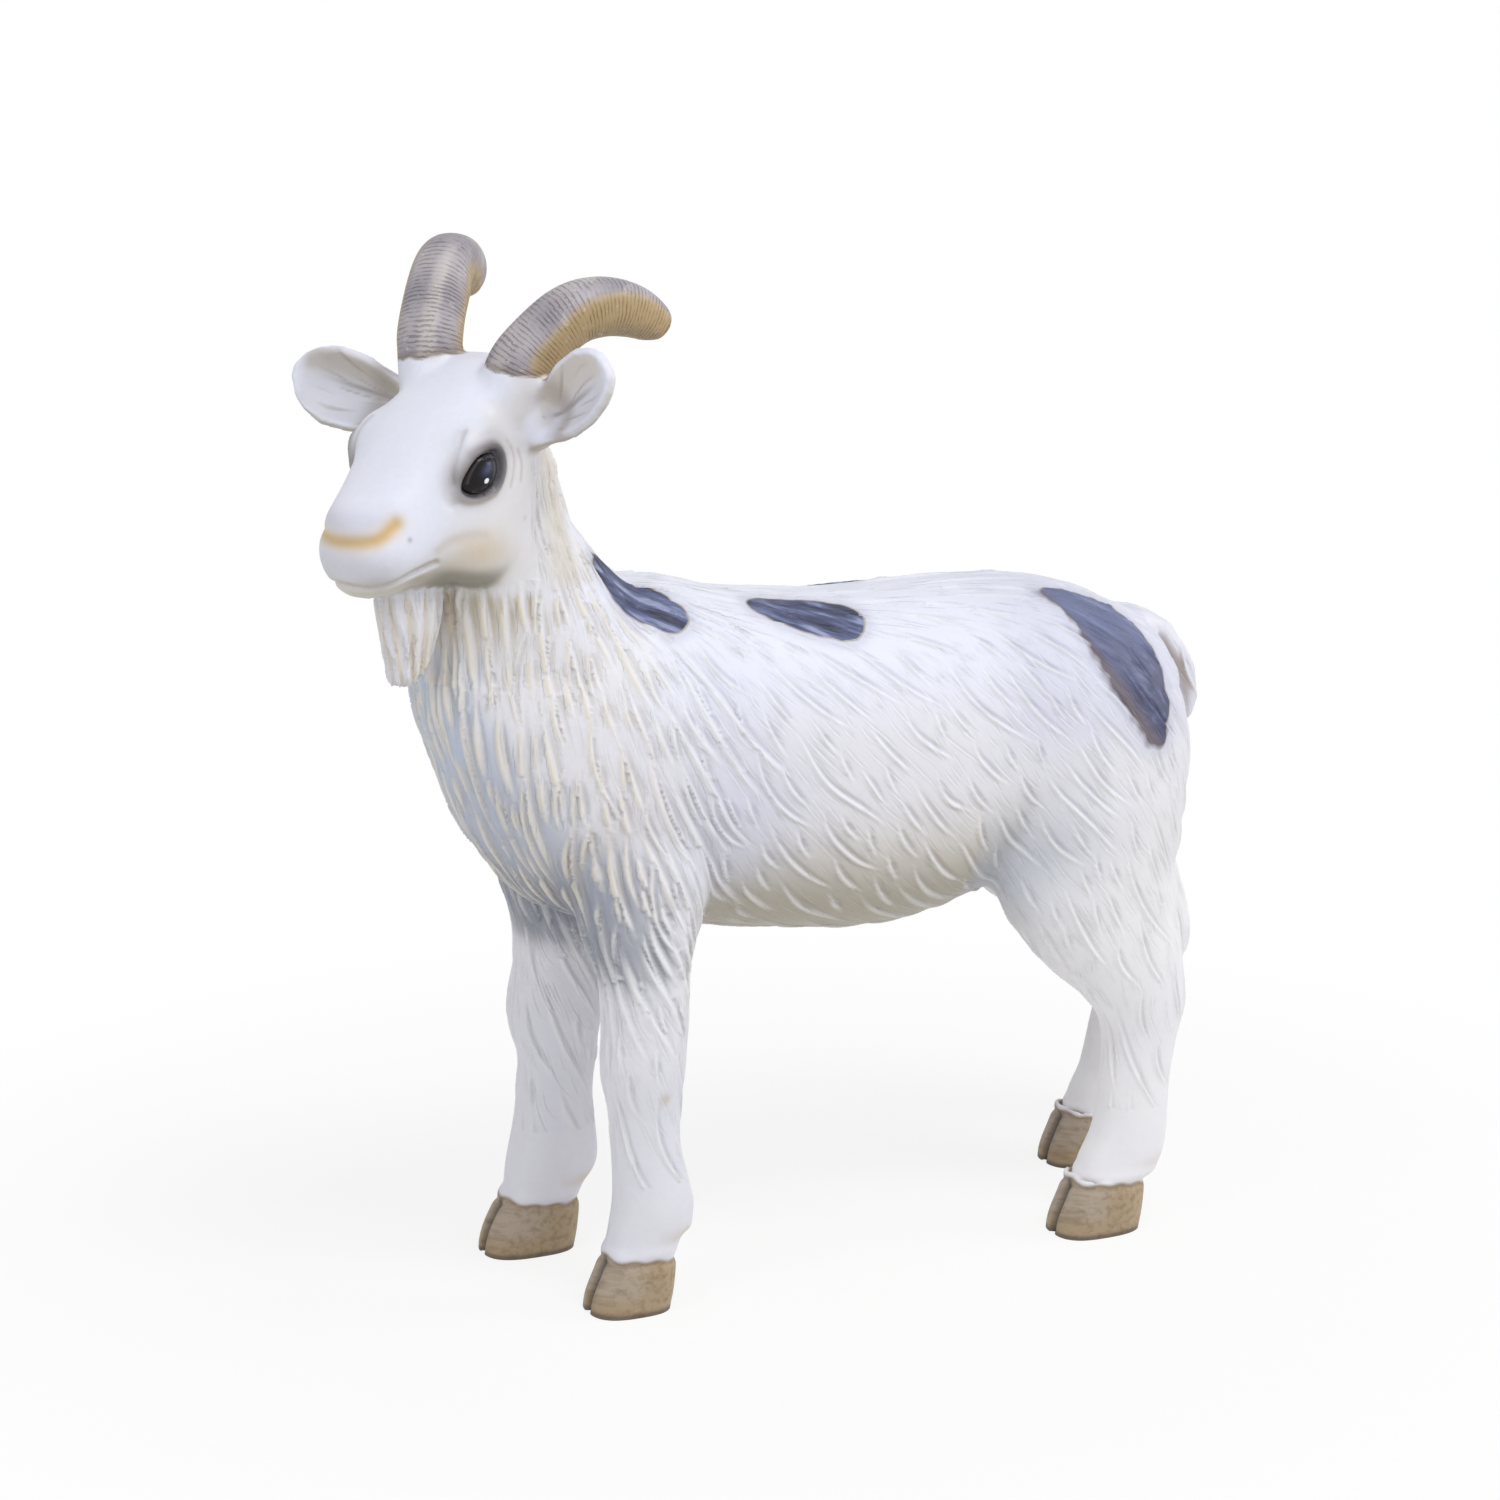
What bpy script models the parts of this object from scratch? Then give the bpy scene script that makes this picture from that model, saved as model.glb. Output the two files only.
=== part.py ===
"""A standing goat garden figure, cast in one piece: body, legs, head, horns, ears, beard and tail.

The goat faces -Y, its left side is +X, and it stands on Z = 0. The head is turned to its left.
Rough volumes are lofted along the limbs, fused into one skin, and the hair is then carved into that skin.
"""
import math

import bmesh
import bpy
import numpy as np
from mathutils import Matrix, Vector
from mathutils.bvhtree import BVHTree
from mathutils.kdtree import KDTree

MM = 0.001

# Driving sizes, in metres
BODY_LENGTH = 0.430          # breast to buttock
BODY_DEPTH = 0.183           # spine to belly
BODY_HALF_WIDTH = 0.073      # barrel, at its widest
SPINE_HEIGHT = 0.361         # ground to spine at mid back
NECK_RADIUS = 0.040          # at its middle
TAIL_WIDTH = 0.024
TRACK = 0.104                # left hoof centre to right hoof centre
FORE_HOOF_SET = 0.085        # left fore hoof, behind the breast
HIND_HOOF_SET = 0.069        # left hind hoof, in front of the buttock
HIND_STRIDE = 0.052          # how much further back the right hind hoof stands
FORE_STRIDE = 0.014          # how much further forward the right fore hoof stands
LEG_RADIUS = 0.0185          # cannon bone
HOOF_LENGTH = 0.043
HOOF_WIDTH = 0.037
HOOF_HEIGHT = 0.029
HEAD_LENGTH = 0.125          # poll to lips
HEAD_RISE = 0.136            # horn bases above the spine
HEAD_SET = 0.017             # horn bases behind the breast
HEAD_ASIDE = 0.010           # horn bases to the left of mid body
HEAD_TURN = math.radians(25)               # to the goat's left
HORN_RADIUS = 0.0165
EAR_LENGTH = 0.080
EAR_WIDTH = 0.043
EAR_THICKNESS = 0.0078

# Fineness
CORE_VOXEL = 0.0030
SKIN_VOXEL = 0.0022
CORE_SMOOTHING = 10
SKIN_SMOOTHING = 4
TRIANGLES = 11700
FACE_SHARE = 0.01

# Carved hair
HAIR_SPACING = 0.0125
HAIR_LENGTH = 0.055
HAIR_WIDTH = 0.0033
HAIR_DEPTH = 0.0016


# Places that follow from the sizes
BREAST = -0.5 * BODY_LENGTH
BUTTOCK = 0.5 * BODY_LENGTH
FORE_HOOF_Y = BREAST + FORE_HOOF_SET
HIND_HOOF_Y = BUTTOCK - HIND_HOOF_SET
HEAD_AT = Vector((HEAD_ASIDE, BREAST + HEAD_SET, SPINE_HEIGHT + HEAD_RISE))
HEAD_UNIT = HEAD_LENGTH / 125              # what the head's numbers below count in

# Side, place along the body, and how much longer than the others the hoof is at its toe and heel
HOOVES = (
    (1, FORE_HOOF_Y, 0.0, 0.0), (-1, FORE_HOOF_Y - FORE_STRIDE, 0.004, 0.003),
    (1, HIND_HOOF_Y, 0.0, 0.006), (-1, HIND_HOOF_Y + HIND_STRIDE, 0.0, 0.006),
)


def clear_scene():
    for old in list(bpy.data.objects):
        bpy.data.objects.remove(old, do_unlink=True)


def spline(rows, count):
    """Rows of numbers, resampled to `count` rows on a Catmull-Rom spline through them."""
    rows = np.array(rows, float)
    padded = np.vstack([2 * rows[0] - rows[1], rows, 2 * rows[-1] - rows[-2]])
    made = []
    for t in np.linspace(0, len(rows) - 1, count):
        i = min(int(t), len(rows) - 2)
        k = t - i
        a, b, c, d = padded[i:i + 4]
        made.append(0.5 * (2 * b + (c - a) * k + (2 * a - 5 * b + 4 * c - d) * k**2
                           + (3 * b - a - 3 * c + d) * k**3))
    return np.array(made)


def new_object(name, bm):
    mesh = bpy.data.meshes.new(name)
    bmesh.ops.recalc_face_normals(bm, faces=bm.faces)
    bm.to_mesh(mesh)
    bm.free()
    made = bpy.data.objects.new(name, mesh)
    bpy.context.scene.collection.objects.link(made)
    return made


def loft(name, stations, side, power=2.2, rings=30, points=36):
    """A tube through stations (x, y, z, half width along `side`, half height above, half height below)."""
    rows = spline(stations, rings)
    centres = rows[:, :3]
    tangents = np.gradient(centres, axis=0)
    side = np.array(side, float)
    angles = np.linspace(0, 2 * math.pi, points, endpoint=False)
    cos, sin = np.cos(angles), np.sin(angles)
    across = np.sign(cos) * np.abs(cos) ** (2 / power)
    upward = np.sign(sin) * np.abs(sin) ** (2 / power)
    bm = bmesh.new()
    loops = []
    for centre, tangent, (wide, above, below) in zip(centres, tangents, np.maximum(rows[:, 3:], 0.0005)):
        up = np.cross(side, tangent)
        up /= np.linalg.norm(up)
        high = np.where(upward > 0, above, below) * upward
        ring = centre + np.outer(across * wide, side) + np.outer(high, up)
        loops.append([bm.verts.new(p) for p in ring])
    for one, two in zip(loops, loops[1:]):
        for i in range(points):
            j = (i + 1) % points
            bm.faces.new((one[i], one[j], two[j], two[i]))
    bm.faces.new(loops[0])
    bm.faces.new(reversed(loops[-1]))
    return new_object(name, bm)


def ellipsoid(name, centre, radii, turn=Matrix.Identity(3)):
    bm = bmesh.new()
    place = Matrix.Translation(centre) @ turn.to_4x4() @ Matrix.Diagonal((*radii, 1))
    bmesh.ops.create_uvsphere(bm, u_segments=24, v_segments=16, radius=1, matrix=place)
    return new_object(name, bm)


# On the head: l to the goat's left, f forward, u up, in head units from between the horn bases
LEFT = Vector((math.cos(HEAD_TURN), math.sin(HEAD_TURN), 0))
FORWARD = Vector((math.sin(HEAD_TURN), -math.cos(HEAD_TURN), 0))
UP = Vector((0, 0, 1))
HEAD_AXES = Matrix((LEFT, FORWARD, UP)).transposed()


def head(l, f, u):
    return HEAD_AT + (LEFT * l + FORWARD * f + UP * u) * HEAD_UNIT


def head_row(l, f, u, *sizes):
    return (*head(l, f, u), *(s * HEAD_UNIT for s in sizes))


def head_blob(name, at, radii, tilt=0.0):
    turn = HEAD_AXES @ Matrix.Rotation(tilt, 3, "X")
    return ellipsoid(name, head(*at), [r * HEAD_UNIT for r in radii], turn)


def body(x, back, up):
    return Vector((x, back, up))


def torso():
    """Stations: share of the body length behind the breast, at the spine and at the belly, then their heights."""
    rows = [
        (-0.030, -0.10, -0.022, 0.28, 0.24), (0.000, -0.04, 0.007, 0.44, 0.54),
        (0.045, 0.00, 0.042, 0.61, 0.78), (0.110, 0.04, 0.088, 0.78, 0.92),
        (0.180, 0.08, 0.150, 0.855, 0.98), (0.260, 0.09, 0.240, 0.90, 0.97),
        (0.370, 0.03, 0.360, 0.950, 0.96), (0.500, 0.00, 0.500, 0.995, 1.00),
        (0.600, 0.00, 0.600, 0.985, 1.01), (0.700, 0.00, 0.700, 0.925, 0.96),
        (0.790, -0.02, 0.790, 0.86, 0.92), (0.880, -0.09, 0.880, 0.80, 0.86),
        (0.945, -0.18, 0.945, 0.70, 0.66), (0.975, -0.30, 0.975, 0.60, 0.34),
    ]
    made = []
    for top, above, low, below, wide in rows:
        made.append((0, BREAST + top * BODY_LENGTH, SPINE_HEIGHT + above * BODY_DEPTH,
                     BREAST + low * BODY_LENGTH, SPINE_HEIGHT - below * BODY_DEPTH, wide * BODY_HALF_WIDTH))
    return sections("torso", made, body, power=2.3, rings=60, points=48)


def neck():
    """From inside the shoulders up to the back of the skull; 'above' is the throat side."""
    base, top = Vector((0, BREAST + 0.125, SPINE_HEIGHT - 0.091)), head(0, -6, -58)
    shares = [
        (0.00, 0.000, 0.000, 1.40, 2.25, 2.00), (0.00, 0.390, 0.207, 1.60, 2.30, 2.00),
        (0.13, 0.653, 0.414, 1.42, 1.85, 1.48), (0.40, 0.828, 0.621, 1.18, 1.38, 1.12),
        (0.80, 0.945, 0.799, 1.02, 1.10, 0.95), (0.73, 1.000, 1.000, 0.92, 0.95, 0.90),
        (1.00, 1.058, 1.178, 0.75, 0.70, 0.70),
    ]
    rows = []
    for aside, along, up, *girth in shares:
        x, y, z = (b + k * (t - b) for b, t, k in zip(base, top, (aside, along, up)))
        rows.append((x, y, z, *(g * NECK_RADIUS for g in girth)))
    return loft("neck", rows, (1, 0, 0), power=2.1, rings=40, points=40)


def sections(name, rows, place, power=2.4, rings=40, points=44):
    """A tube through rows (l, top f, top u, bottom f, bottom u, half width), each point put through `place`."""
    rows = spline(rows, rings)
    angles = np.linspace(0, 2 * math.pi, points, endpoint=False)
    cos, sin = np.cos(angles), np.sin(angles)
    across = np.sign(cos) * np.abs(cos) ** (2 / power)
    upward = np.sign(sin) * np.abs(sin) ** (2 / power)
    bm = bmesh.new()
    loops = []
    for l, top_f, top_u, low_f, low_u, wide in rows:
        middle_f, middle_u = (top_f + low_f) / 2, (top_u + low_u) / 2
        high_f, high_u = (top_f - low_f) / 2, (top_u - low_u) / 2
        loops.append([bm.verts.new(place(l + wide * c, middle_f + high_f * s, middle_u + high_u * s))
                      for c, s in zip(across, upward)])
    for one, two in zip(loops, loops[1:]):
        for i in range(points):
            j = (i + 1) % points
            bm.faces.new((one[i], one[j], two[j], two[i]))
    bm.faces.new(loops[0])
    bm.faces.new(reversed(loops[-1]))
    return new_object(name, bm)


def skull():
    rows = [
        (0, -28, -24, -32, -58, 14), (0, -16, -6, -26, -80, 29), (0, 2, 0, -12, -98, 37.5),
        (0, 22, -7, 6, -105, 41), (0, 42, -20, 26, -107, 40), (0, 58, -34, 42, -106, 34),
        (0, 72, -48, 56, -105, 29), (0, 84, -59, 68, -106, 25.5), (0, 92, -70, 79, -107, 24),
        (0, 96, -82, 88, -105, 18), (0, 97, -91, 93, -99, 8),
    ]
    return sections("skull", rows, head, power=2.8)


def face():
    parts = [skull()]
    parts.append(head_blob("poll", (0, -4, -12), (34, 22, 15)))
    parts.append(head_blob("nose", (0, 83, -70), (20, 14, 12), math.radians(-30)))
    parts.append(head_blob("chin", (0, 78, -103), (17, 16, 6)))
    for sign in (-1, 1):
        parts.append(head_blob("brow", (sign * 32, 38, -36), (12.5, 18, 10), math.radians(-35)))
        parts.append(head_blob("eye", (sign * 32, 38, -47.5), (12, 14, 13.5)))
        parts.append(head_blob("lip", (sign * 11, 82, -88), (15, 14, 11)))
        parts.append(head_blob("cheek", (sign * 25, 24, -84), (17, 27, 23), math.radians(-10)))
    return parts


def planted(hoof_y, stride, sign, rows, low, high, most):
    """Rows for a leg whose foot stands `stride` further back; the shift fades out between two heights."""
    made = []
    for x, y, z, wide, back, fore in rows:
        share = most * min(1, max(0, (z - low) / (high - low)))
        made.append((sign * x, hoof_y + y - stride * share, z, wide, back, fore))
    return made


def leg_rows(shares, girth):
    """Rows of shares: of half the track, of the leg radius behind the hoof's middle, of the height from hoof
    to spine, and the three girths in leg radii.
    """
    made = []
    for aside, behind, up, *sizes in shares:
        r = LEG_RADIUS * (girth if 0 < up < 0.4 else 1)
        made.append((aside * TRACK / 2, behind * LEG_RADIUS, HOOF_HEIGHT + up * (SPINE_HEIGHT - HOOF_HEIGHT),
                     *(size * r for size in sizes)))
    return made


def foreleg(sign, hoof_y, stride, girth):
    rows = leg_rows([
        (0.66, 0.54, 0.816, 1.30, 2.16, 1.95), (0.76, 0.32, 0.666, 1.62, 2.38, 2.27),
        (0.86, 0.22, 0.551, 1.51, 1.84, 1.84), (0.95, 0.22, 0.449, 1.22, 1.32, 1.27),
        (1.00, 0.22, 0.364, 1.11, 1.16, 1.16), (1.00, 0.16, 0.295, 1.11, 1.16, 1.21),
        (1.00, 0.22, 0.241, 0.97, 0.97, 1.02), (1.00, 0.22, 0.172, 0.93, 0.97, 0.97),
        (1.00, 0.32, 0.111, 1.00, 1.12, 1.02), (1.00, 0.32, 0.069, 1.05, 1.26, 1.05),
        (1.00, 0.11, 0.027, 0.95, 0.95, 1.00), (1.00, -0.11, -0.021, 0.90, 0.89, 0.97),
        (1.00, -0.16, -0.051, 0.80, 0.81, 0.81),
    ], girth)
    fade = (0.139 * SPINE_HEIGHT, 0.277 * SPINE_HEIGHT, 0.55)
    return loft("foreleg", planted(hoof_y, stride, sign, rows, *fade), (1, 0, 0),
                power=2.15, rings=50, points=32)


def hindleg(sign, hoof_y, stride, hock):
    """`hock` pushes the joint above the cannon bone further back, as a share of the leg radius."""
    rows = leg_rows([
        (0.70, -0.76, 0.816, 1.41, 2.49, 2.27), (0.78, -0.65, 0.681, 1.78, 3.35, 3.03),
        (0.86, -0.49, 0.560, 1.73, 3.03, 3.14), (0.93, -0.05 + 0.9 * hock, 0.461, 1.46, 2.38, 2.59),
        (1.00, 0.76 + hock, 0.364, 1.24, 1.78 - 0.3 * hock, 1.73),
        (1.00, 1.19 + 0.8 * hock, 0.292, 1.11, 1.41, 1.38),
        (1.00, 1.19 + 0.45 * hock, 0.226, 1.00, 1.12, 1.12),
        (1.00, 1.08 + 0.15 * hock, 0.160, 0.97, 1.05, 1.08),
        (1.00, 0.97, 0.099, 1.02, 1.12, 1.08), (1.00, 0.76, 0.051, 1.05, 1.22, 1.08),
        (1.00, 0.32, 0.012, 0.96, 1.01, 1.06), (1.00, 0.05, -0.027, 0.89, 0.89, 0.97),
        (1.00, -0.11, -0.051, 0.78, 0.81, 0.81),
    ], 1)
    fade = (0.416 * SPINE_HEIGHT, 0.748 * SPINE_HEIGHT, 1.0)
    return loft("hindleg", planted(hoof_y, stride, sign, rows, *fade), (1, 0, 0),
                power=2.15, rings=50, points=32)


def hoof(sign, hoof_y, toe, heel):
    half = TRACK / 2
    long, wide = HOOF_LENGTH / 2, HOOF_WIDTH / 2
    rows = [
        (sign * half, hoof_y, HOOF_HEIGHT + 0.002, wide * 0.80, long * 0.72 + heel, long * 0.72),
        (sign * half, hoof_y, HOOF_HEIGHT, wide * 0.93, long * 0.86 + heel, long * 0.84 + toe * 0.5),
        (sign * half, hoof_y - 0.003, HOOF_HEIGHT * 0.5, wide, long * 0.94 + heel, long * 0.98 + toe),
        (sign * half, hoof_y - 0.006, 0.002, wide * 1.03, long * 0.95 + heel, long * 1.08 + toe),
        (sign * half, hoof_y - 0.006, -0.004, wide * 1.03, long * 0.95 + heel, long * 1.08 + toe),
    ]
    return loft("hoof", rows, (1, 0, 0), power=2.8, rings=20, points=36)


def dewclaws(sign, hoof_y):
    r = LEG_RADIUS
    back, up = hoof_y + 1.13 * r, HOOF_HEIGHT + 0.97 * r
    return [ellipsoid("dewclaw", (sign * TRACK / 2 + x * r, back, up), (0.33 * r, 0.33 * r, 0.43 * r))
            for x in (-0.4, 0.4)]


def horn(sign):
    """The two horns aren't quite alike: the right one stands taller, and the left one leans out."""
    r = HORN_RADIUS / HEAD_UNIT
    lean, rise, curl = (6, 0, 0) if sign > 0 else (-1, 14, 7)
    rows = [
        (24, 2, -36, 0.0, 0.80, 0.80), (27, 4, -16, 0.2, 0.98, 0.94), (30, 1, 0, 0.4, 1.00, 0.94),
        (35, -8, 13, 0.7, 0.99, 0.92), (41, -21, 24, 1.0, 0.98, 0.92), (47, -36, 27, 1.0, 0.95, 0.90),
        (53, -50, 24, 0.9, 0.83, 0.82), (58, -61, 18, 0.8, 0.64, 0.66), (60, -66, 14, 0.8, 0.44, 0.46),
    ]
    stations = []
    for l, f, u, k, wide, deep in rows:
        back = f * (1 - 0.01 * curl) if f < -30 else f
        stations.append(head_row(sign * (l + lean * k), back, u + rise * k, wide * r, deep * r, deep * r))
    return loft("horn", stations, LEFT, power=2.4, rings=40, points=32)


# Side, how far the tip is lifted, and how much the ear narrows above and below its middle towards the tip
EARS = (-1, -10, 0.2, 0), (1, 13, 0.05, 0.38)
# Share of the ear's length, and share of its width there
EAR_PROFILE = (0, 0.25, 0.5, 0.7, 0.85, 0.94, 1), (0.42, 0.68, 0.94, 1, 0.84, 0.58, 0.16)


def ear(sign, lift, above, below):
    """A cupped leaf, open to the front, thickened into a shell."""
    root, tip = Vector((sign * 36, -2, -32)), Vector((sign * 113, 17, -4 + lift))
    axis = (tip - root).normalized()
    front = Vector((sign * 0.10, 1.0, 0.22))
    front = (front - axis * front.dot(axis)).normalized()
    across = axis.cross(front).normalized() * sign
    length, wide = EAR_LENGTH / HEAD_UNIT, EAR_WIDTH / HEAD_UNIT / 2
    bm = bmesh.new()
    along, over = 18, 14
    grid = []
    for i in range(along + 1):
        a = i / along
        half = wide * np.interp(a, EAR_PROFILE[0], EAR_PROFILE[1])
        row = []
        for j in range(over + 1):
            b = 2 * j / over - 1
            cup = (12 * (1 - a) ** 1.5 + 6 * min(1, (1 - a) / 0.25)) * (b * b - 0.7)
            beside = b * half * (1 - a * (above if b > 0 else below))
            point = root + axis * (a * length) + across * beside + front * cup
            row.append(bm.verts.new(head(*point)))
        grid.append(row)
    for i in range(along):
        for j in range(over):
            bm.faces.new((grid[i][j], grid[i + 1][j], grid[i + 1][j + 1], grid[i][j + 1]))
    made = new_object("ear", bm)
    thick = made.modifiers.new("shell", "SOLIDIFY")
    thick.thickness = EAR_THICKNESS
    thick.offset = 0
    return made


def ear_root(sign):
    return head_blob("ear_root", (sign * 38, -3, -28), (15, 11, 15))


def beard():
    rows = [
        head_row(0, 49, -96, 12, 20, 20), head_row(0, 49, -110, 12.5, 19, 20),
        head_row(0, 49, -124, 12, 17, 18.5), head_row(0, 51, -140, 9.5, 14, 14),
        head_row(0, 54, -151, 7, 9, 9), head_row(0, 55, -157, 4, 5, 5),
    ]
    return loft("beard", rows, LEFT, power=2.2, rings=24, points=28)


def tail():
    """Rows: behind the buttock, under the spine, half width and half thickness, all in tail widths."""
    shares = [
        (-1.88, 1.29, 0.50, 0.33), (-0.83, 1.50, 0.50, 0.33), (-0.08, 2.21, 0.48, 0.31),
        (0.25, 3.04, 0.44, 0.29), (0.29, 3.63, 0.33, 0.21), (0.25, 3.88, 0.13, 0.13),
    ]
    rows = []
    for back, down, wide, thick in shares:
        at = (0, BUTTOCK + back * TAIL_WIDTH, SPINE_HEIGHT - down * TAIL_WIDTH)
        rows.append((*at, wide * TAIL_WIDTH, thick * TAIL_WIDTH, thick * TAIL_WIDTH))
    return loft("tail", rows, (1, 0, 0), power=2.2, rings=24, points=24)


def muscles():
    made = []
    half = TRACK / 2
    for sign in (-1, 1):
        made.append(ellipsoid("shoulder", (sign * half * 0.78, FORE_HOOF_Y + 0.012, 0.742 * SPINE_HEIGHT),
                              (0.41 * BODY_HALF_WIDTH, 0.25 * BODY_DEPTH, 0.36 * BODY_DEPTH)))
        made.append(ellipsoid("haunch", (sign * half * 0.76, HIND_HOOF_Y - 0.010, 0.726 * SPINE_HEIGHT),
                              (0.466 * BODY_HALF_WIDTH, 0.36 * BODY_DEPTH, 0.3825 * BODY_DEPTH)))
    return made


def fuse(name, objects, voxel, smoothing):
    """One closed skin round all the objects, which are removed."""
    graph = bpy.context.evaluated_depsgraph_get()
    bm = bmesh.new()
    for piece in objects:
        mesh = bpy.data.meshes.new_from_object(piece.evaluated_get(graph))
        bm.from_mesh(mesh)
        bpy.data.meshes.remove(mesh)
        bpy.data.objects.remove(piece, do_unlink=True)
    fused = new_object(name, bm)
    remesh = fused.modifiers.new("fuse", "REMESH")
    remesh.mode = "VOXEL"
    remesh.voxel_size = voxel
    if smoothing:
        smooth = fused.modifiers.new("soften", "SMOOTH")
        smooth.factor = 0.5
        smooth.iterations = smoothing
    apply_modifiers(fused)
    return fused


def apply_modifiers(thing):
    graph = bpy.context.evaluated_depsgraph_get()
    mesh = bpy.data.meshes.new_from_object(thing.evaluated_get(graph))
    old = thing.data
    thing.modifiers.clear()
    thing.data = mesh
    bpy.data.meshes.remove(old)


def body_core():
    fore_left, fore_right = FORE_HOOF_Y, FORE_HOOF_Y - FORE_STRIDE
    hind_left, hind_right = HIND_HOOF_Y, HIND_HOOF_Y + HIND_STRIDE
    parts = [torso(), neck(), *face(), *muscles()]
    parts += [foreleg(1, fore_left, 0, 1.03), foreleg(-1, fore_right, -FORE_STRIDE, 1.16)]
    parts += [hindleg(1, hind_left, 0, 0), hindleg(-1, hind_right, HIND_STRIDE, 0.81)]
    return fuse("core", parts, CORE_VOXEL, CORE_SMOOTHING)


def goat():
    parts = [body_core(), beard(), tail()]
    for sign, lift, above, below in EARS:
        parts += [horn(sign), ear(sign, lift, above, below), ear_root(sign)]
    for sign, hoof_y, toe, heel in HOOVES:
        parts += [hoof(sign, hoof_y, toe, heel), *dewclaws(sign, hoof_y)]
    return fuse("goat", parts, SKIN_VOXEL, SKIN_SMOOTHING)


class Skin:
    """The skin being carved: every vertex moves along its normal, inwards or outwards."""

    def __init__(self, thing):
        self.mesh = thing.data
        self.count = len(self.mesh.vertices)
        self.read()

    def read(self):
        self.points = np.empty(self.count * 3)
        self.mesh.vertices.foreach_get("co", self.points)
        self.points = self.points.reshape(-1, 3)
        self.normals = np.array([n.vector for n in self.mesh.vertex_normals])
        rel = (self.points - np.array(HEAD_AT)) / (HEAD_UNIT)
        self.local = np.stack([rel @ np.array(LEFT), rel @ np.array(FORWARD), rel @ np.array(UP)], 1)

    def push(self, amount, along=None):
        """Moves the vertices by `amount`, in millimetres."""
        along = self.normals if along is None else np.array(along)
        self.points = self.points + along * (np.asarray(amount) * MM)[:, None]
        self.mesh.vertices.foreach_set("co", self.points.ravel())
        self.mesh.update()
        self.read()

    def near_line(self, rows, reach):
        """Distance in millimetres on the head to a line, `reach` where it is further away."""
        line = spline(rows, 60)
        away = np.full(self.count, float(reach))
        low, high = line.min(0) - reach, line.max(0) + reach
        close = np.where(((self.local > low) & (self.local < high)).all(1))[0]
        if len(close):
            gaps = np.linalg.norm(self.local[close][:, None, :] - line[None, :, :], axis=2)
            away[close] = np.minimum(gaps.min(1), reach)
        return away


def bell(value, width):
    return np.exp(-(np.asarray(value) / width) ** 2)


def carve_face(skin):
    fold = np.zeros(skin.count)
    crease = [(-21, 82, -67), (-19, 90, -72), (-10, 98, -76), (0, 100, -77),
              (10, 98, -76), (19, 90, -72), (21, 82, -67)]
    fold -= 1.8 * bell(skin.near_line(crease, 9), 2.6)
    mouth = [(-25, 54, -91), (-26, 66, -93.5), (-23, 78, -96), (-13, 91, -98), (0, 95, -99),
             (13, 91, -98), (23, 78, -96), (26, 66, -93.5), (25, 54, -91)]
    fold -= 2.2 * bell(skin.near_line(mouth, 9), 2.2)
    skin.push(fold)
    for sign in (-1, 1):
        l, f, u = skin.local.T
        at = (f - 42, u + 44)
        lean = math.radians(32)
        long = -at[0] * math.cos(lean) + at[1] * math.sin(lean)
        high = at[0] * math.sin(lean) + at[1] * math.cos(lean)
        q = np.sqrt((long / 16.0) ** 2 + (high / (10.5 - 0.16 * np.abs(long))) ** 2)
        side = (sign * l > 18) & (q < 2.6)
        lids = 1.8 * bell(q - 1.22, 0.19) - 2.0 * bell(q - 0.96, 0.12) - 1.2 * bell(q - 1.75, 0.18) * (high > -4)
        lids += 1.0 * bell(q, 0.8)
        skin.push(np.where(side, lids, 0), LEFT * sign)
        furrow = [(sign * 39, 40, -22), (sign * 39, 50, -28), (sign * 38, 57, -35),
                  (sign * 36, 59, -46), (sign * 35, 55, -56)]
        skin.push(-1.5 * bell(skin.near_line(furrow, 8), 2.2))


def carve_hooves(skin):
    for sign, hoof_y, toe, heel in HOOVES:
        x = skin.points[:, 0] / MM - sign * TRACK / 2 / MM
        y = skin.points[:, 1] / MM - hoof_y / MM
        z = skin.points[:, 2] / MM
        here = (np.abs(x) < 26) & (np.abs(y) < 40)
        low = here & (z < HOOF_HEIGHT / MM)
        cleft = -3.6 * bell(x, 2.0) * np.clip(-skin.normals[:, 1], 0, 1) * np.clip((HOOF_HEIGHT / MM - z) / 6, 0, 1)
        ledge = -1.1 * bell(z - HOOF_HEIGHT / MM + 2, 2.0) + 0.9 * bell(z - HOOF_HEIGHT / MM - 3.5, 3.0)
        skin.push(np.where(low, cleft, 0) + np.where(here & (z < 45), ledge, 0))


def flow(at, normal):
    """Which way the hair lies: back and down on the flank, straight down on the throat."""
    x, y, z = at
    height = z / SPINE_HEIGHT
    throat = min(1, max(0, (BREAST + 0.095 - y) / 0.060)) * min(1, max(0, (height - 0.42) / 0.16))
    thigh = min(1, max(0, (y - BUTTOCK + 0.105) / 0.060))
    leg = min(1, max(0, (0.55 - height) / 0.14))
    back = 0.62 * (1 - throat) * (1 - 0.35 * thigh) * (1 - 0.6 * leg)
    lie = Vector((0, back + 0.10, -0.78))
    lie -= normal * lie.dot(normal)
    if normal.z > 0.55:
        lie += Vector((0, 1, 0)) * (normal.z - 0.55) * 2.0
        lie -= normal * lie.dot(normal)
    return lie.normalized() if lie.length > 1e-6 else Vector((0, 1, 0))


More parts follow.
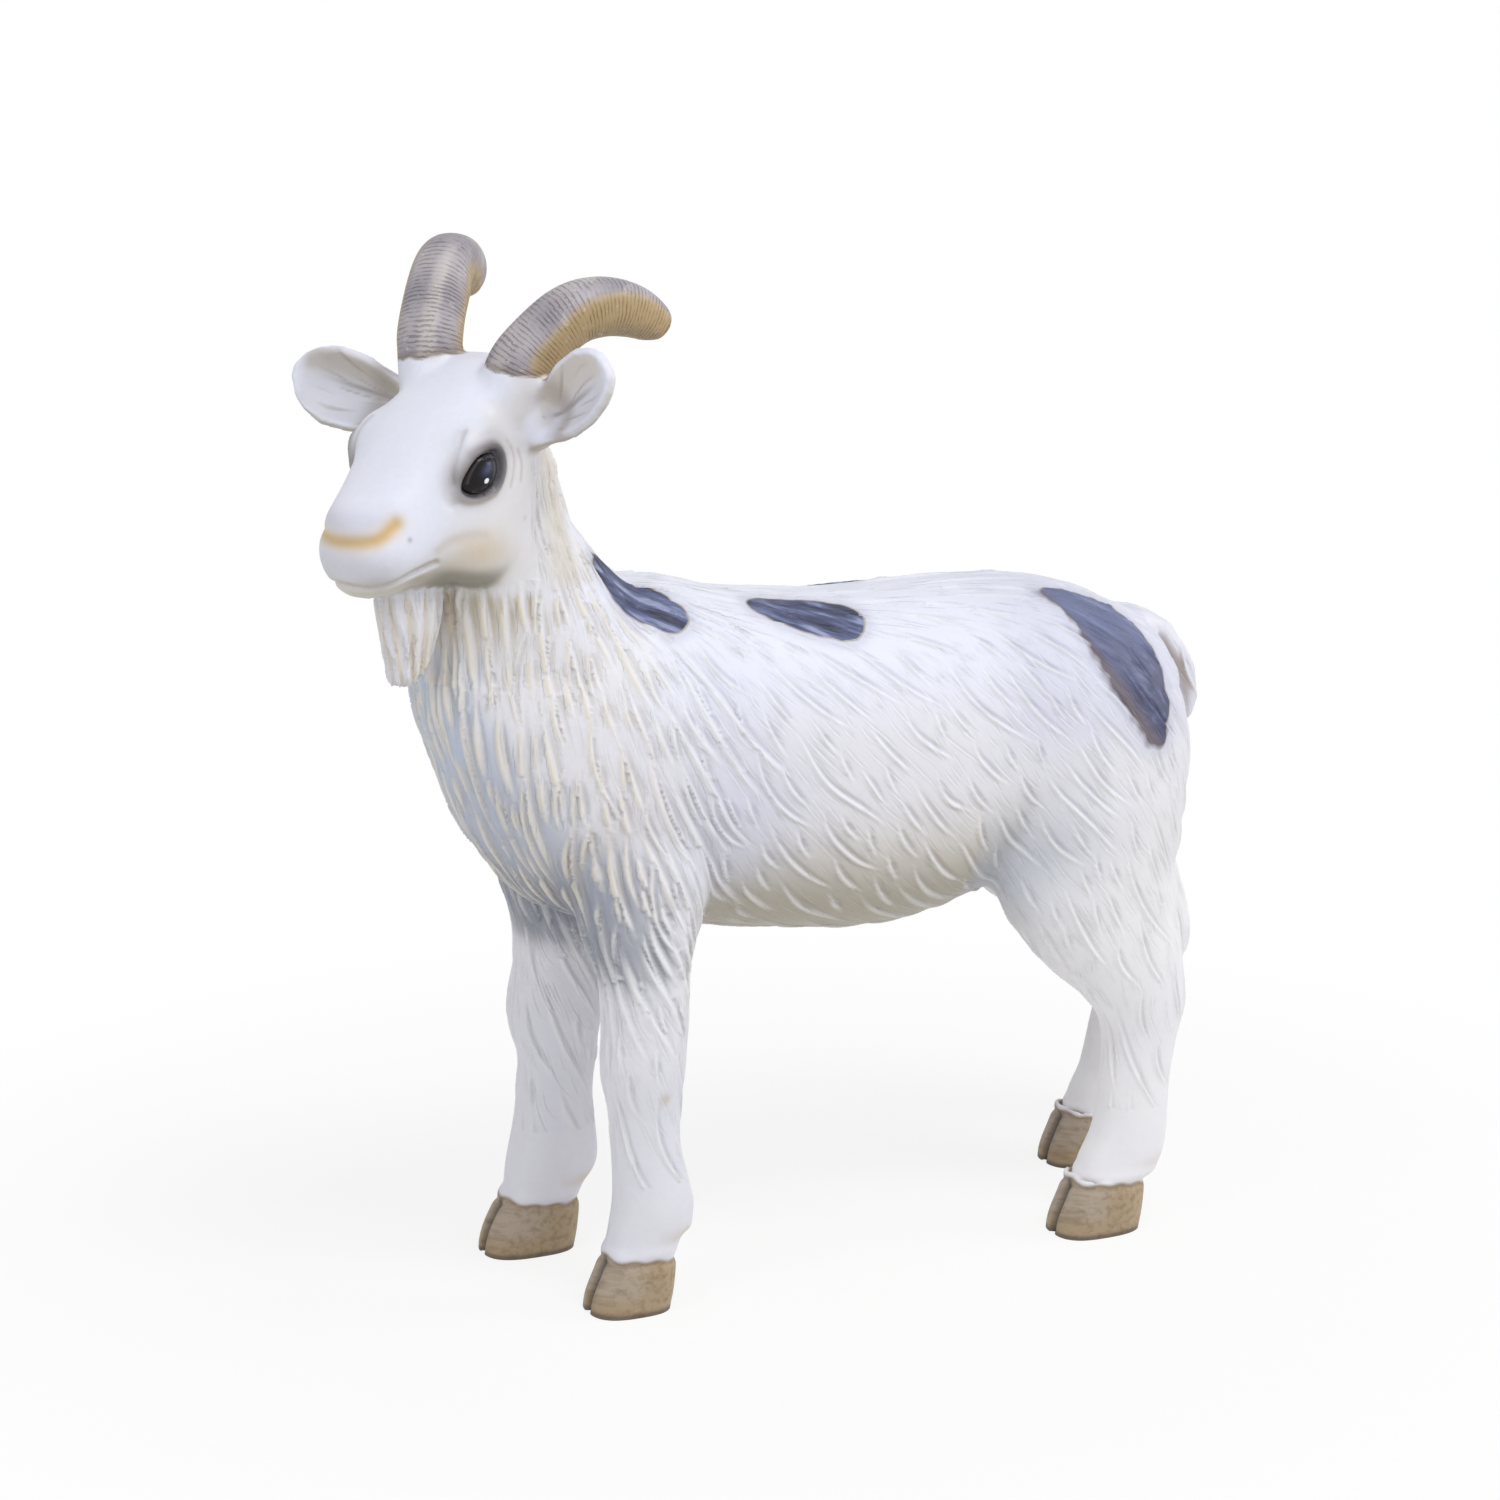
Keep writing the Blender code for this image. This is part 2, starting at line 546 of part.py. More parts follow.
def hair_strokes(skin, spacing, shortest, longest, wanted, seed):
    """Curved strokes along the lie of the hair: rows of (point, direction across, strength)."""
    tree = BVHTree.FromPolygons([tuple(p) for p in skin.points], [tuple(p.vertices) for p in skin.mesh.polygons])
    random = np.random.default_rng(seed)
    density = wanted(skin)
    starts = random.permutation(skin.count)[: int(0.25 * skin.count)]
    taken, strokes = {}, []
    step = 0.45 * spacing

    def crowded(p, own):
        cell = tuple(int(c // spacing) for c in p)
        for i in range(-1, 2):
            for j in range(-1, 2):
                for k in range(-1, 2):
                    for other, q in taken.get((cell[0] + i, cell[1] + j, cell[2] + k), ()):
                        if other != own and (p - q).length < spacing:
                            return True
        return False

    for number, start in enumerate(starts):
        chance = density[start]
        if random.random() > chance:
            continue
        at, normal = Vector(skin.points[start]), Vector(skin.normals[start])
        if crowded(at, number):
            continue
        length = random.uniform(shortest, longest)
        sway, phase = random.uniform(-0.35, 0.35), random.uniform(0.5, 1.2)
        rows, gone = [], 0.0
        while gone < length:
            way = flow(at, normal)
            way.rotate(Matrix.Rotation(sway * math.sin(phase * 2 * math.pi * gone / length + 0.6), 3, normal))
            rows.append((at.copy(), normal.cross(way).normalized()))
            hit = tree.find_nearest(at + way * step)
            if hit[0] is None or (hit[0] - at).length < 0.3 * step:
                break
            at, normal = hit[0], hit[1]
            gone += step
            if crowded(at, number):
                break
        if len(rows) < 4:
            continue
        for i, (p, across) in enumerate(rows):
            taken.setdefault(tuple(int(c // spacing) for c in p), []).append((number, p))
            strokes.append((p, across, math.sin(math.pi * (i + 0.6) / (len(rows) + 0.2)) ** 0.6))
    return strokes


def carve_hair(skin, strokes, width, depth, lip):
    tree = KDTree(len(strokes))
    for i, (p, across, strength) in enumerate(strokes):
        tree.insert(p, i)
    tree.balance()
    amount = np.zeros(skin.count)
    for i, p in enumerate(skin.points):
        found, index, away = tree.find(p)
        if away > 4 * width:
            continue
        q, across, strength = strokes[index]
        offset = (Vector(p) - q).dot(across) / width
        beyond = max(0.0, away - abs(offset) * width)
        fade = strength * math.exp(-(beyond / (2.2 * width)) ** 2)
        amount[i] = fade * (lip * math.exp(-((offset - 1.5) / 0.9) ** 2) - depth * math.exp(-offset ** 2))
    skin.push(amount / MM)


def coat(skin):
    """How thickly the hair is carved, 0 to 1, over the skin."""
    x, y, z = skin.points.T
    l, f, u = skin.local.T
    on_head = (u > -112) & (f > -24) | (u > -60)
    height = z / SPINE_HEIGHT
    neck = np.clip((BREAST + 0.105 - y) / 0.03, 0, 1) * (height > 0.53)
    amount = 0.55 * (height > 0.42) + 0.45 * neck
    amount[skin.normals[:, 2] > 0.82] *= 0.25
    amount[skin.normals[:, 2] < -0.65] *= 0.1
    amount[on_head] = 0
    amount[height < 0.42] = 0.12
    amount[height < 0.21] = 0
    return amount


def comb_beard(skin):
    l, f, u = skin.local.T
    here = (u < -108) & (u > -162) & (f > 24) & (f < 76) & (np.abs(l) < 18)
    around = np.arctan2(l / 12, (f - 49) / 18)
    comb = 0.9 * np.sin(11 * around + 0.05 * u) * np.clip((-106 - u) / 8, 0, 1)
    skin.push(np.where(here, comb, 0))


def carve(thing):
    skin = Skin(thing)
    carve_face(skin)
    carve_hooves(skin)
    comb_beard(skin)
    strokes = hair_strokes(skin, HAIR_SPACING, HAIR_LENGTH * 0.6, HAIR_LENGTH * 1.4, coat, 7)
    carve_hair(skin, strokes, HAIR_WIDTH, HAIR_DEPTH, HAIR_DEPTH * 0.7)
    return len(strokes)


def thin_out(thing, triangles):
    keep = thing.vertex_groups.new(name="face")
    for vertex in thing.data.vertices:
        away = (vertex.co - head(0, 45, -60)).length
        if away < 0.60 * HEAD_LENGTH:
            keep.add([vertex.index], 0.30, "REPLACE")
        elif away < 1.36 * HEAD_LENGTH or vertex.co.z < 1.2 * HOOF_HEIGHT:
            keep.add([vertex.index], 0.06, "REPLACE")
    reduce = thing.modifiers.new("thin out", "DECIMATE")
    reduce.vertex_group = keep.name
    reduce.invert_vertex_group = True
    reduce.vertex_group_factor = FACE_SHARE
    reduce.ratio = triangles / sum(len(p.vertices) - 2 for p in thing.data.polygons)
    apply_modifiers(thing)


def stand_flat(thing):
    """Cuts the soles flat on Z = 0 and puts the middle of the outline over the origin."""
    bm = bmesh.new()
    bm.from_mesh(thing.data)
    cut = bmesh.ops.bisect_plane(bm, geom=bm.verts[:] + bm.edges[:] + bm.faces[:], dist=1e-6,
                                 plane_co=(0, 0, 0), plane_no=(0, 0, 1), clear_inner=True)
    rim = [e for e in cut["geom_cut"] if isinstance(e, bmesh.types.BMEdge)]
    bmesh.ops.holes_fill(bm, edges=rim, sides=0)
    bmesh.ops.triangulate(bm, faces=[f for f in bm.faces if len(f.verts) > 4])
    across = [v.co.x for v in bm.verts]
    along = [v.co.y for v in bm.verts]
    middle = Vector(((min(across) + max(across)) / 2, (min(along) + max(along)) / 2, 0))
    bmesh.ops.translate(bm, verts=bm.verts, vec=-middle)
    thing["moved"] = tuple(-middle)
    bm.to_mesh(thing.data)
    bm.free()


def paint(thing):
    material = bpy.data.materials.new("painted resin")
    material.use_nodes = True
    shader = material.node_tree.nodes["Principled BSDF"]
    shader.inputs["Base Color"].default_value = (0.80, 0.79, 0.78, 1)
    shader.inputs["Roughness"].default_value = 0.5
    thing.data.materials.append(material)
    for face_ in thing.data.polygons:
        face_.use_smooth = True


def main():
    clear_scene()
    figure = goat()
    carve(figure)
    thin_out(figure, TRIANGLES)
    stand_flat(figure)
    paint(figure)


main()
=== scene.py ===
"""The goat garden figure, dressed for the photograph: a finer skin with carved hair, painted by hand.

The first half builds the same volumes as the CAD source, because this script can't read that file.
Everything is built round the source's own origin and moved onto the frame's at the end.
"""
import math
from itertools import product

import bmesh
import bpy
import numpy as np
from mathutils import Matrix, Vector
from mathutils.bvhtree import BVHTree
from mathutils.kdtree import KDTree

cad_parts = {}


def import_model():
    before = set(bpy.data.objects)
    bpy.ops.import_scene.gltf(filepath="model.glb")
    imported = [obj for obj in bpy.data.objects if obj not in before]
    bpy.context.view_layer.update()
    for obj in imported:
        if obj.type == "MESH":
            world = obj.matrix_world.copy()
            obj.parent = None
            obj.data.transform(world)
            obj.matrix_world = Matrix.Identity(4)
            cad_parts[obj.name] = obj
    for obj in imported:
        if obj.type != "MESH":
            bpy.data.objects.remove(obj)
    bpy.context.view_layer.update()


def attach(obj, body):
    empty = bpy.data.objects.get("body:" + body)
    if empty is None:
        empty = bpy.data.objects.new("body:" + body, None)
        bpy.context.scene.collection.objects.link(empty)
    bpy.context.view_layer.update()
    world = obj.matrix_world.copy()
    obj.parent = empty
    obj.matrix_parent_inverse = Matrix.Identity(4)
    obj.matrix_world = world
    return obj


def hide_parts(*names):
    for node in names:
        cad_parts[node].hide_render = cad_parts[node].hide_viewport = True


MM = 0.001
LEAST_RADIUS = 0.5 * MM        # of a tube's end

# Driving sizes, in metres
BODY_LENGTH = 0.430          # breast to buttock
BODY_DEPTH = 0.183           # spine to belly
BODY_HALF_WIDTH = 0.073      # barrel, at its widest
SPINE_HEIGHT = 0.361         # ground to spine at mid back
NECK_RADIUS = 0.040          # at its middle
TAIL_WIDTH = 0.024
TRACK = 0.104                # left hoof centre to right hoof centre
FORE_HOOF_SET = 0.085        # left fore hoof, behind the breast
HIND_HOOF_SET = 0.069        # left hind hoof, in front of the buttock
HIND_STRIDE = 0.052          # how much further back the right hind hoof stands
FORE_STRIDE = 0.014          # how much further forward the right fore hoof stands
LEG_RADIUS = 0.0185          # cannon bone
HOOF_LENGTH = 0.043
HOOF_WIDTH = 0.037
HOOF_HEIGHT = 0.029
HEAD_LENGTH = 0.125          # poll to lips
HEAD_RISE = 0.136            # horn bases above the spine
HEAD_SET = 0.017             # horn bases behind the breast
HEAD_ASIDE = 0.010           # horn bases to the left of mid body
HEAD_TURN = math.radians(25) # to the goat's left
HORN_RADIUS = 0.0165
HORN_GROOVES = 3.1           # radians a head unit along the horn, so that one comes every 2 mm
EAR_LENGTH = 0.080
EAR_WIDTH = 0.043
EAR_THICKNESS = 0.0078

# Fineness
CORE_VOXEL = 0.0030
SKIN_VOXEL = 0.00112
CORE_SMOOTHING = 10
SKIN_SMOOTHING = 15

# Places that follow from the sizes
BREAST = -0.5 * BODY_LENGTH
BUTTOCK = 0.5 * BODY_LENGTH
FORE_HOOF_Y = BREAST + FORE_HOOF_SET
HIND_HOOF_Y = BUTTOCK - HIND_HOOF_SET
HEAD_AT = Vector((HEAD_ASIDE, BREAST + HEAD_SET, SPINE_HEIGHT + HEAD_RISE))
HEAD_UNIT = HEAD_LENGTH / 125  # what the head's numbers below count in

# The stage, in metres and watts. Lamps: name, place, size, power
FLOOR_HALF = 40.0
SHADOW_FADE = 0.28, 0.62     # from the middle of the floor
LAMPS = (
    ("key", (1.25, 0.25, 2.3), 1.1, 23),
    ("fill", (0.9, -2.2, 1.5), 1.6, 13),
    ("rim", (0.9, 2.3, 1.3), 1.4, 18),
)
LAMPS_AIM = Vector((0, 0, 0.3))

# The camera of the photograph
CAMERA_AZIMUTH = 65          # degrees from the front towards the goat's left
CAMERA_ELEVATION = 14
CAMERA_DISTANCE = 2.2
CAMERA_AIM = Vector((0.0081, -0.0457, 0.28))
PIXEL = 0.525 * MM           # how much of the figure a pixel shows
PICTURE_WIDTH = 1500         # in pixels

# Side, place along the body, and how much longer than the others the hoof is at its toe and heel
HOOVES = (
    (1, FORE_HOOF_Y, 0.0, 0.0), (-1, FORE_HOOF_Y - FORE_STRIDE, 0.004, 0.003),
    (1, HIND_HOOF_Y, 0.0, 0.006), (-1, HIND_HOOF_Y + HIND_STRIDE, 0.0, 0.006),
)

# Side, how far the tip is lifted, and how much the ear narrows above and below its middle towards the tip
EARS = (-1, -10, 0.2, 0), (1, 13, 0.05, 0.38)


def spline(rows, count):
    """Rows of numbers, resampled to `count` rows on a Catmull-Rom spline through them."""
    rows = np.array(rows, float)
    padded = np.vstack([2 * rows[0] - rows[1], rows, 2 * rows[-1] - rows[-2]])
    made = []
    for t in np.linspace(0, len(rows) - 1, count):
        i = min(int(t), len(rows) - 2)
        k = t - i
        a, b, c, d = padded[i:i + 4]
        made.append(0.5 * (2 * b + (c - a) * k + (2 * a - 5 * b + 4 * c - d) * k**2
                           + (3 * b - a - 3 * c + d) * k**3))
    return np.array(made)


def add_object(name, data):
    made = bpy.data.objects.new(name, data)
    bpy.context.scene.collection.objects.link(made)
    return made


def new_object(name, bm):
    mesh = bpy.data.meshes.new(name)
    bmesh.ops.recalc_face_normals(bm, faces=bm.faces)
    bm.to_mesh(mesh)
    bm.free()
    return add_object(name, mesh)


def superellipse(power, points):
    """Places round a rounded square: across and upward, both -1 to 1."""
    angles = np.linspace(0, 2 * math.pi, points, endpoint=False)
    cos, sin = np.cos(angles), np.sin(angles)
    return np.sign(cos) * np.abs(cos) ** (2 / power), np.sign(sin) * np.abs(sin) ** (2 / power)


def tube(name, rings):
    """A tube through rings of points, closed at both ends."""
    bm = bmesh.new()
    loops = [[bm.verts.new(p) for p in ring] for ring in rings]
    for one, two in zip(loops, loops[1:]):
        for i in range(len(one)):
            j = (i + 1) % len(one)
            bm.faces.new((one[i], one[j], two[j], two[i]))
    bm.faces.new(loops[0])
    bm.faces.new(reversed(loops[-1]))
    return new_object(name, bm)


def loft(name, stations, side, power=2.2, rings=30, points=36):
    """A tube through stations (x, y, z, half width along `side`, half height above, half height below)."""
    rows = spline(stations, rings)
    tangents = np.gradient(rows[:, :3], axis=0)
    side = np.array(side, float)
    across, upward = superellipse(power, points)
    made = []
    sizes = np.maximum(rows[:, 3:], LEAST_RADIUS)
    for centre, tangent, (wide, above, below) in zip(rows[:, :3], tangents, sizes):
        up = np.cross(side, tangent)
        up /= np.linalg.norm(up)
        high = np.where(upward > 0, above, below) * upward
        made.append(centre + np.outer(across * wide, side) + np.outer(high, up))
    return tube(name, made)


def sections(name, rows, place, power=2.4, rings=40, points=44):
    """A tube through rows (l, top f, top u, bottom f, bottom u, half width), put through `place`."""
    across, upward = superellipse(power, points)
    made = []
    for l, top_f, top_u, low_f, low_u, wide in spline(rows, rings):
        middle_f, middle_u = (top_f + low_f) / 2, (top_u + low_u) / 2
        high_f, high_u = (top_f - low_f) / 2, (top_u - low_u) / 2
        made.append([place(l + wide * c, middle_f + high_f * s, middle_u + high_u * s)
                     for c, s in zip(across, upward)])
    return tube(name, made)


def ellipsoid(name, centre, radii, turn=Matrix.Identity(3)):
    bm = bmesh.new()
    place = Matrix.Translation(centre) @ turn.to_4x4() @ Matrix.Diagonal((*radii, 1))
    bmesh.ops.create_uvsphere(bm, u_segments=24, v_segments=16, radius=1, matrix=place)
    return new_object(name, bm)


# On the head: l to the goat's left, f forward, u up, in head units from between the horn bases
LEFT = Vector((math.cos(HEAD_TURN), math.sin(HEAD_TURN), 0))
FORWARD = Vector((math.sin(HEAD_TURN), -math.cos(HEAD_TURN), 0))
UP = Vector((0, 0, 1))
HEAD_AXES = Matrix((LEFT, FORWARD, UP)).transposed()


def head(l, f, u):
    return HEAD_AT + (LEFT * l + FORWARD * f + UP * u) * HEAD_UNIT


def head_row(l, f, u, *sizes):
    return (*head(l, f, u), *(s * HEAD_UNIT for s in sizes))


def head_blob(name, at, radii, tilt=0.0):
    turn = HEAD_AXES @ Matrix.Rotation(tilt, 3, "X")
    return ellipsoid(name, head(*at), [r * HEAD_UNIT for r in radii], turn)


def body(x, back, up):
    """A place on the body, in the form that `sections` asks for."""
    return Vector((x, back, up))


def torso():
    """Rows: at the spine, how far behind the breast and above the spine's height; at the belly, how far
    behind the breast and below the spine; half width. In body lengths, depths and half widths.
    """
    rows = [
        (-0.030, -0.10, -0.022, 0.28, 0.24), (0.000, -0.04, 0.007, 0.44, 0.54),
        (0.045, 0.00, 0.042, 0.61, 0.78), (0.110, 0.04, 0.088, 0.78, 0.92),
        (0.180, 0.08, 0.150, 0.855, 0.98), (0.260, 0.09, 0.240, 0.90, 0.97),
        (0.370, 0.03, 0.360, 0.950, 0.96), (0.500, 0.00, 0.500, 0.995, 1.00),
        (0.600, 0.00, 0.600, 0.985, 1.01), (0.700, 0.00, 0.700, 0.925, 0.96),
        (0.790, -0.02, 0.790, 0.86, 0.92), (0.880, -0.09, 0.880, 0.80, 0.86),
        (0.945, -0.18, 0.945, 0.70, 0.66), (0.975, -0.30, 0.975, 0.60, 0.34),
    ]
    made = []
    for top, above, low, below, wide in rows:
        made.append((0, BREAST + top * BODY_LENGTH, SPINE_HEIGHT + above * BODY_DEPTH,
                     BREAST + low * BODY_LENGTH, SPINE_HEIGHT - below * BODY_DEPTH, wide * BODY_HALF_WIDTH))
    return sections("torso", made, body, power=2.3, rings=60, points=48)


def neck():
    """From inside the shoulders up to the back of the skull; 'above' is the throat side."""
    base, top = Vector((0, BREAST + 0.125, SPINE_HEIGHT - 0.091)), head(0, -6, -58)
    shares = [
        (0.00, 0.000, 0.000, 1.40, 2.25, 2.00), (0.00, 0.390, 0.207, 1.60, 2.30, 2.00),
        (0.13, 0.653, 0.414, 1.42, 1.85, 1.48), (0.40, 0.828, 0.621, 1.18, 1.38, 1.12),
        (0.80, 0.945, 0.799, 1.02, 1.10, 0.95), (0.73, 1.000, 1.000, 0.92, 0.95, 0.90),
        (1.00, 1.058, 1.178, 0.75, 0.70, 0.70),
    ]
    rows = []
    for aside, along, up, *girth in shares:
        x, y, z = (b + k * (t - b) for b, t, k in zip(base, top, (aside, along, up)))
        rows.append((x, y, z, *(g * NECK_RADIUS for g in girth)))
    return loft("neck", rows, (1, 0, 0), power=2.1, rings=40, points=40)


def skull():
    rows = [
        (0, -28, -24, -32, -58, 14), (0, -16, -6, -26, -80, 29), (0, 2, 0, -12, -98, 37.5),
        (0, 22, -7, 6, -105, 41), (0, 42, -20, 26, -107, 40), (0, 58, -34, 42, -106, 34),
        (0, 72, -48, 56, -105, 29), (0, 84, -59, 68, -106, 25.5), (0, 92, -70, 79, -107, 24),
        (0, 96, -82, 88, -105, 18), (0, 97, -91, 93, -99, 8),
    ]
    return sections("skull", rows, head, power=2.8)


def face():
    parts = [skull()]
    parts.append(head_blob("poll", (0, -4, -12), (34, 22, 15)))
    parts.append(head_blob("nose", (0, 83, -70), (20, 14, 12), math.radians(-30)))
    parts.append(head_blob("chin", (0, 78, -103), (17, 16, 6)))
    for sign in (-1, 1):
        parts.append(head_blob("brow", (sign * 32, 38, -36), (12.5, 18, 10), math.radians(-35)))
        parts.append(head_blob("eye", (sign * 32, 38, -47.5), (12, 14, 13.5)))
        parts.append(head_blob("lip", (sign * 11, 82, -88), (15, 14, 11)))
        parts.append(head_blob("cheek", (sign * 25, 24, -84), (17, 27, 23), math.radians(-10)))
    return parts


def planted(hoof_y, stride, sign, rows, low, high, most):
    """Rows for a leg whose foot stands `stride` further back; the shift fades out between two heights."""
    made = []
    for x, y, z, wide, back, fore in rows:
        share = most * min(1, max(0, (z - low) / (high - low)))
        made.append((sign * x, hoof_y + y - stride * share, z, wide, back, fore))
    return made


def leg_rows(shares, girth):
    """Rows of shares: of half the track, of the leg radius behind the hoof's middle, of the height from hoof
    to spine, and the three girths in leg radii.
    """
    made = []
    for aside, behind, up, *sizes in shares:
        r = LEG_RADIUS * (girth if 0 < up < 0.4 else 1)
        made.append((aside * TRACK / 2, behind * LEG_RADIUS, HOOF_HEIGHT + up * (SPINE_HEIGHT - HOOF_HEIGHT),
                     *(size * r for size in sizes)))
    return made


def foreleg(sign, hoof_y, stride, girth):
    rows = leg_rows([
        (0.66, 0.54, 0.816, 1.30, 2.16, 1.95), (0.76, 0.32, 0.666, 1.62, 2.38, 2.27),
        (0.86, 0.22, 0.551, 1.51, 1.84, 1.84), (0.95, 0.22, 0.449, 1.22, 1.32, 1.27),
        (1.00, 0.22, 0.364, 1.11, 1.16, 1.16), (1.00, 0.16, 0.295, 1.11, 1.16, 1.21),
        (1.00, 0.22, 0.241, 0.97, 0.97, 1.02), (1.00, 0.22, 0.172, 0.93, 0.97, 0.97),
        (1.00, 0.32, 0.111, 1.00, 1.12, 1.02), (1.00, 0.32, 0.069, 1.05, 1.26, 1.05),
        (1.00, 0.11, 0.027, 0.95, 0.95, 1.00), (1.00, -0.11, -0.021, 0.90, 0.89, 0.97),
        (1.00, -0.16, -0.051, 0.80, 0.81, 0.81),
    ], girth)
    fade = (0.139 * SPINE_HEIGHT, 0.277 * SPINE_HEIGHT, 0.55)
    return loft("foreleg", planted(hoof_y, stride, sign, rows, *fade), (1, 0, 0),
                power=2.15, rings=50, points=32)


def hindleg(sign, hoof_y, stride, hock):
    """`hock` pushes the joint above the cannon bone further back, as a share of the leg radius."""
    rows = leg_rows([
        (0.70, -0.76, 0.816, 1.41, 2.49, 2.27), (0.78, -0.65, 0.681, 1.78, 3.35, 3.03),
        (0.86, -0.49, 0.560, 1.73, 3.03, 3.14), (0.93, -0.05 + 0.9 * hock, 0.461, 1.46, 2.38, 2.59),
        (1.00, 0.76 + hock, 0.364, 1.24, 1.78 - 0.3 * hock, 1.73),
        (1.00, 1.19 + 0.8 * hock, 0.292, 1.11, 1.41, 1.38),
        (1.00, 1.19 + 0.45 * hock, 0.226, 1.00, 1.12, 1.12),
        (1.00, 1.08 + 0.15 * hock, 0.160, 0.97, 1.05, 1.08),
        (1.00, 0.97, 0.099, 1.02, 1.12, 1.08), (1.00, 0.76, 0.051, 1.05, 1.22, 1.08),
        (1.00, 0.32, 0.012, 0.96, 1.01, 1.06), (1.00, 0.05, -0.027, 0.89, 0.89, 0.97),
        (1.00, -0.11, -0.051, 0.78, 0.81, 0.81),
    ], 1)
    fade = (0.416 * SPINE_HEIGHT, 0.748 * SPINE_HEIGHT, 1.0)
    return loft("hindleg", planted(hoof_y, stride, sign, rows, *fade), (1, 0, 0),
                power=2.15, rings=50, points=32)


def hoof(sign, hoof_y, toe, heel):
    half = TRACK / 2
    long, wide = HOOF_LENGTH / 2, HOOF_WIDTH / 2
    rows = [
        (sign * half, hoof_y, HOOF_HEIGHT + 0.002, wide * 0.80, long * 0.72 + heel, long * 0.72),
        (sign * half, hoof_y, HOOF_HEIGHT, wide * 0.93, long * 0.86 + heel, long * 0.84 + toe * 0.5),
        (sign * half, hoof_y - 0.003, HOOF_HEIGHT * 0.5, wide, long * 0.94 + heel, long * 0.98 + toe),
        (sign * half, hoof_y - 0.006, 0.002, wide * 1.03, long * 0.95 + heel, long * 1.08 + toe),
        (sign * half, hoof_y - 0.006, -0.004, wide * 1.03, long * 0.95 + heel, long * 1.08 + toe),
    ]
    return loft("hoof", rows, (1, 0, 0), power=2.8, rings=20, points=36)


def dewclaws(sign, hoof_y):
    r = LEG_RADIUS
    back, up = hoof_y + 1.13 * r, HOOF_HEIGHT + 0.97 * r
    return [ellipsoid("dewclaw", (sign * TRACK / 2 + x * r, back, up), (0.33 * r, 0.33 * r, 0.43 * r))
            for x in (-0.4, 0.4)]


def horn_rows(sign):
    """Rows on the head: l, f, u, half width and half depth.
    The right horn stands up, and the left one leans out.
    """
    r = HORN_RADIUS / HEAD_UNIT
    lean, rise, curl = (6, 0, 0) if sign > 0 else (-1, 14, 7)
    rows = [
        (24, 2, -36, 0.0, 0.80, 0.80), (27, 4, -16, 0.2, 0.98, 0.94), (30, 1, 0, 0.4, 1.00, 0.94),
        (35, -8, 13, 0.7, 0.99, 0.92), (41, -21, 24, 1.0, 0.98, 0.92), (47, -36, 27, 1.0, 0.95, 0.90),
        (53, -50, 24, 0.9, 0.83, 0.82), (58, -61, 18, 0.8, 0.64, 0.66), (60, -66, 14, 0.8, 0.44, 0.46),
    ]
    made = []
    for l, f, u, k, wide, deep in rows:
        back = f * (1 - 0.01 * curl) if f < -30 else f
        made.append((sign * (l + lean * k), back, u + rise * k, wide * r, deep * r))
    return made


def horn(sign):
    stations = [head_row(l, f, u, wide, deep, deep) for l, f, u, wide, deep in horn_rows(sign)]
    return loft("horn", stations, LEFT, power=2.4, rings=40, points=32)


# Share of the ear's length, and share of its width there
EAR_PROFILE = (0, 0.25, 0.5, 0.7, 0.85, 0.94, 1), (0.42, 0.68, 0.94, 1, 0.84, 0.58, 0.16)


def ear_frame(sign, lift):
    """Root of the ear, and its directions along, out of the cup and across."""
    root, tip = Vector((sign * 36, -2, -32)), Vector((sign * 113, 17, -4 + lift))
    axis = (tip - root).normalized()
    front = Vector((sign * 0.10, 1.0, 0.22))
    front = (front - axis * front.dot(axis)).normalized()
    return root, axis, front, axis.cross(front).normalized() * sign


def ear(sign, lift, above, below):
    """A cupped leaf, open to the front, thickened into a shell."""
    root, axis, front, across = ear_frame(sign, lift)
    length, wide = EAR_LENGTH / HEAD_UNIT, EAR_WIDTH / HEAD_UNIT / 2
    bm = bmesh.new()
    along, over = 60, 44
    grid = []
    for i in range(along + 1):
        a = i / along
        half = wide * np.interp(a, EAR_PROFILE[0], EAR_PROFILE[1])
        row = []
        for j in range(over + 1):
            b = 2 * j / over - 1
            cup = (12 * (1 - a) ** 1.5 + 6 * min(1, (1 - a) / 0.25)) * (b * b - 0.7)
            beside = b * half * (1 - a * (above if b > 0 else below))
            point = root + axis * (a * length) + across * beside + front * cup
            row.append(bm.verts.new(head(*point)))
        grid.append(row)
    for i in range(along):
        for j in range(over):
            bm.faces.new((grid[i][j], grid[i + 1][j], grid[i + 1][j + 1], grid[i][j + 1]))
    made = new_object("ear", bm)
    thick = made.modifiers.new("shell", "SOLIDIFY")
    thick.thickness = 0.7 * EAR_THICKNESS
    thick.offset = 0
    return made


def ear_root(sign):
    return head_blob("ear_root", (sign * 38, -3, -28), (15, 11, 15))


def beard():
    rows = [
        head_row(0, 49, -96, 12, 20, 20), head_row(0, 49, -110, 12.5, 19, 20),
        head_row(0, 49, -124, 12, 17, 18.5), head_row(0, 51, -140, 9.5, 14, 14),
        head_row(0, 54, -151, 7, 9, 9), head_row(0, 55, -157, 4, 5, 5),
    ]
    return loft("beard", rows, LEFT, power=2.2, rings=24, points=28)


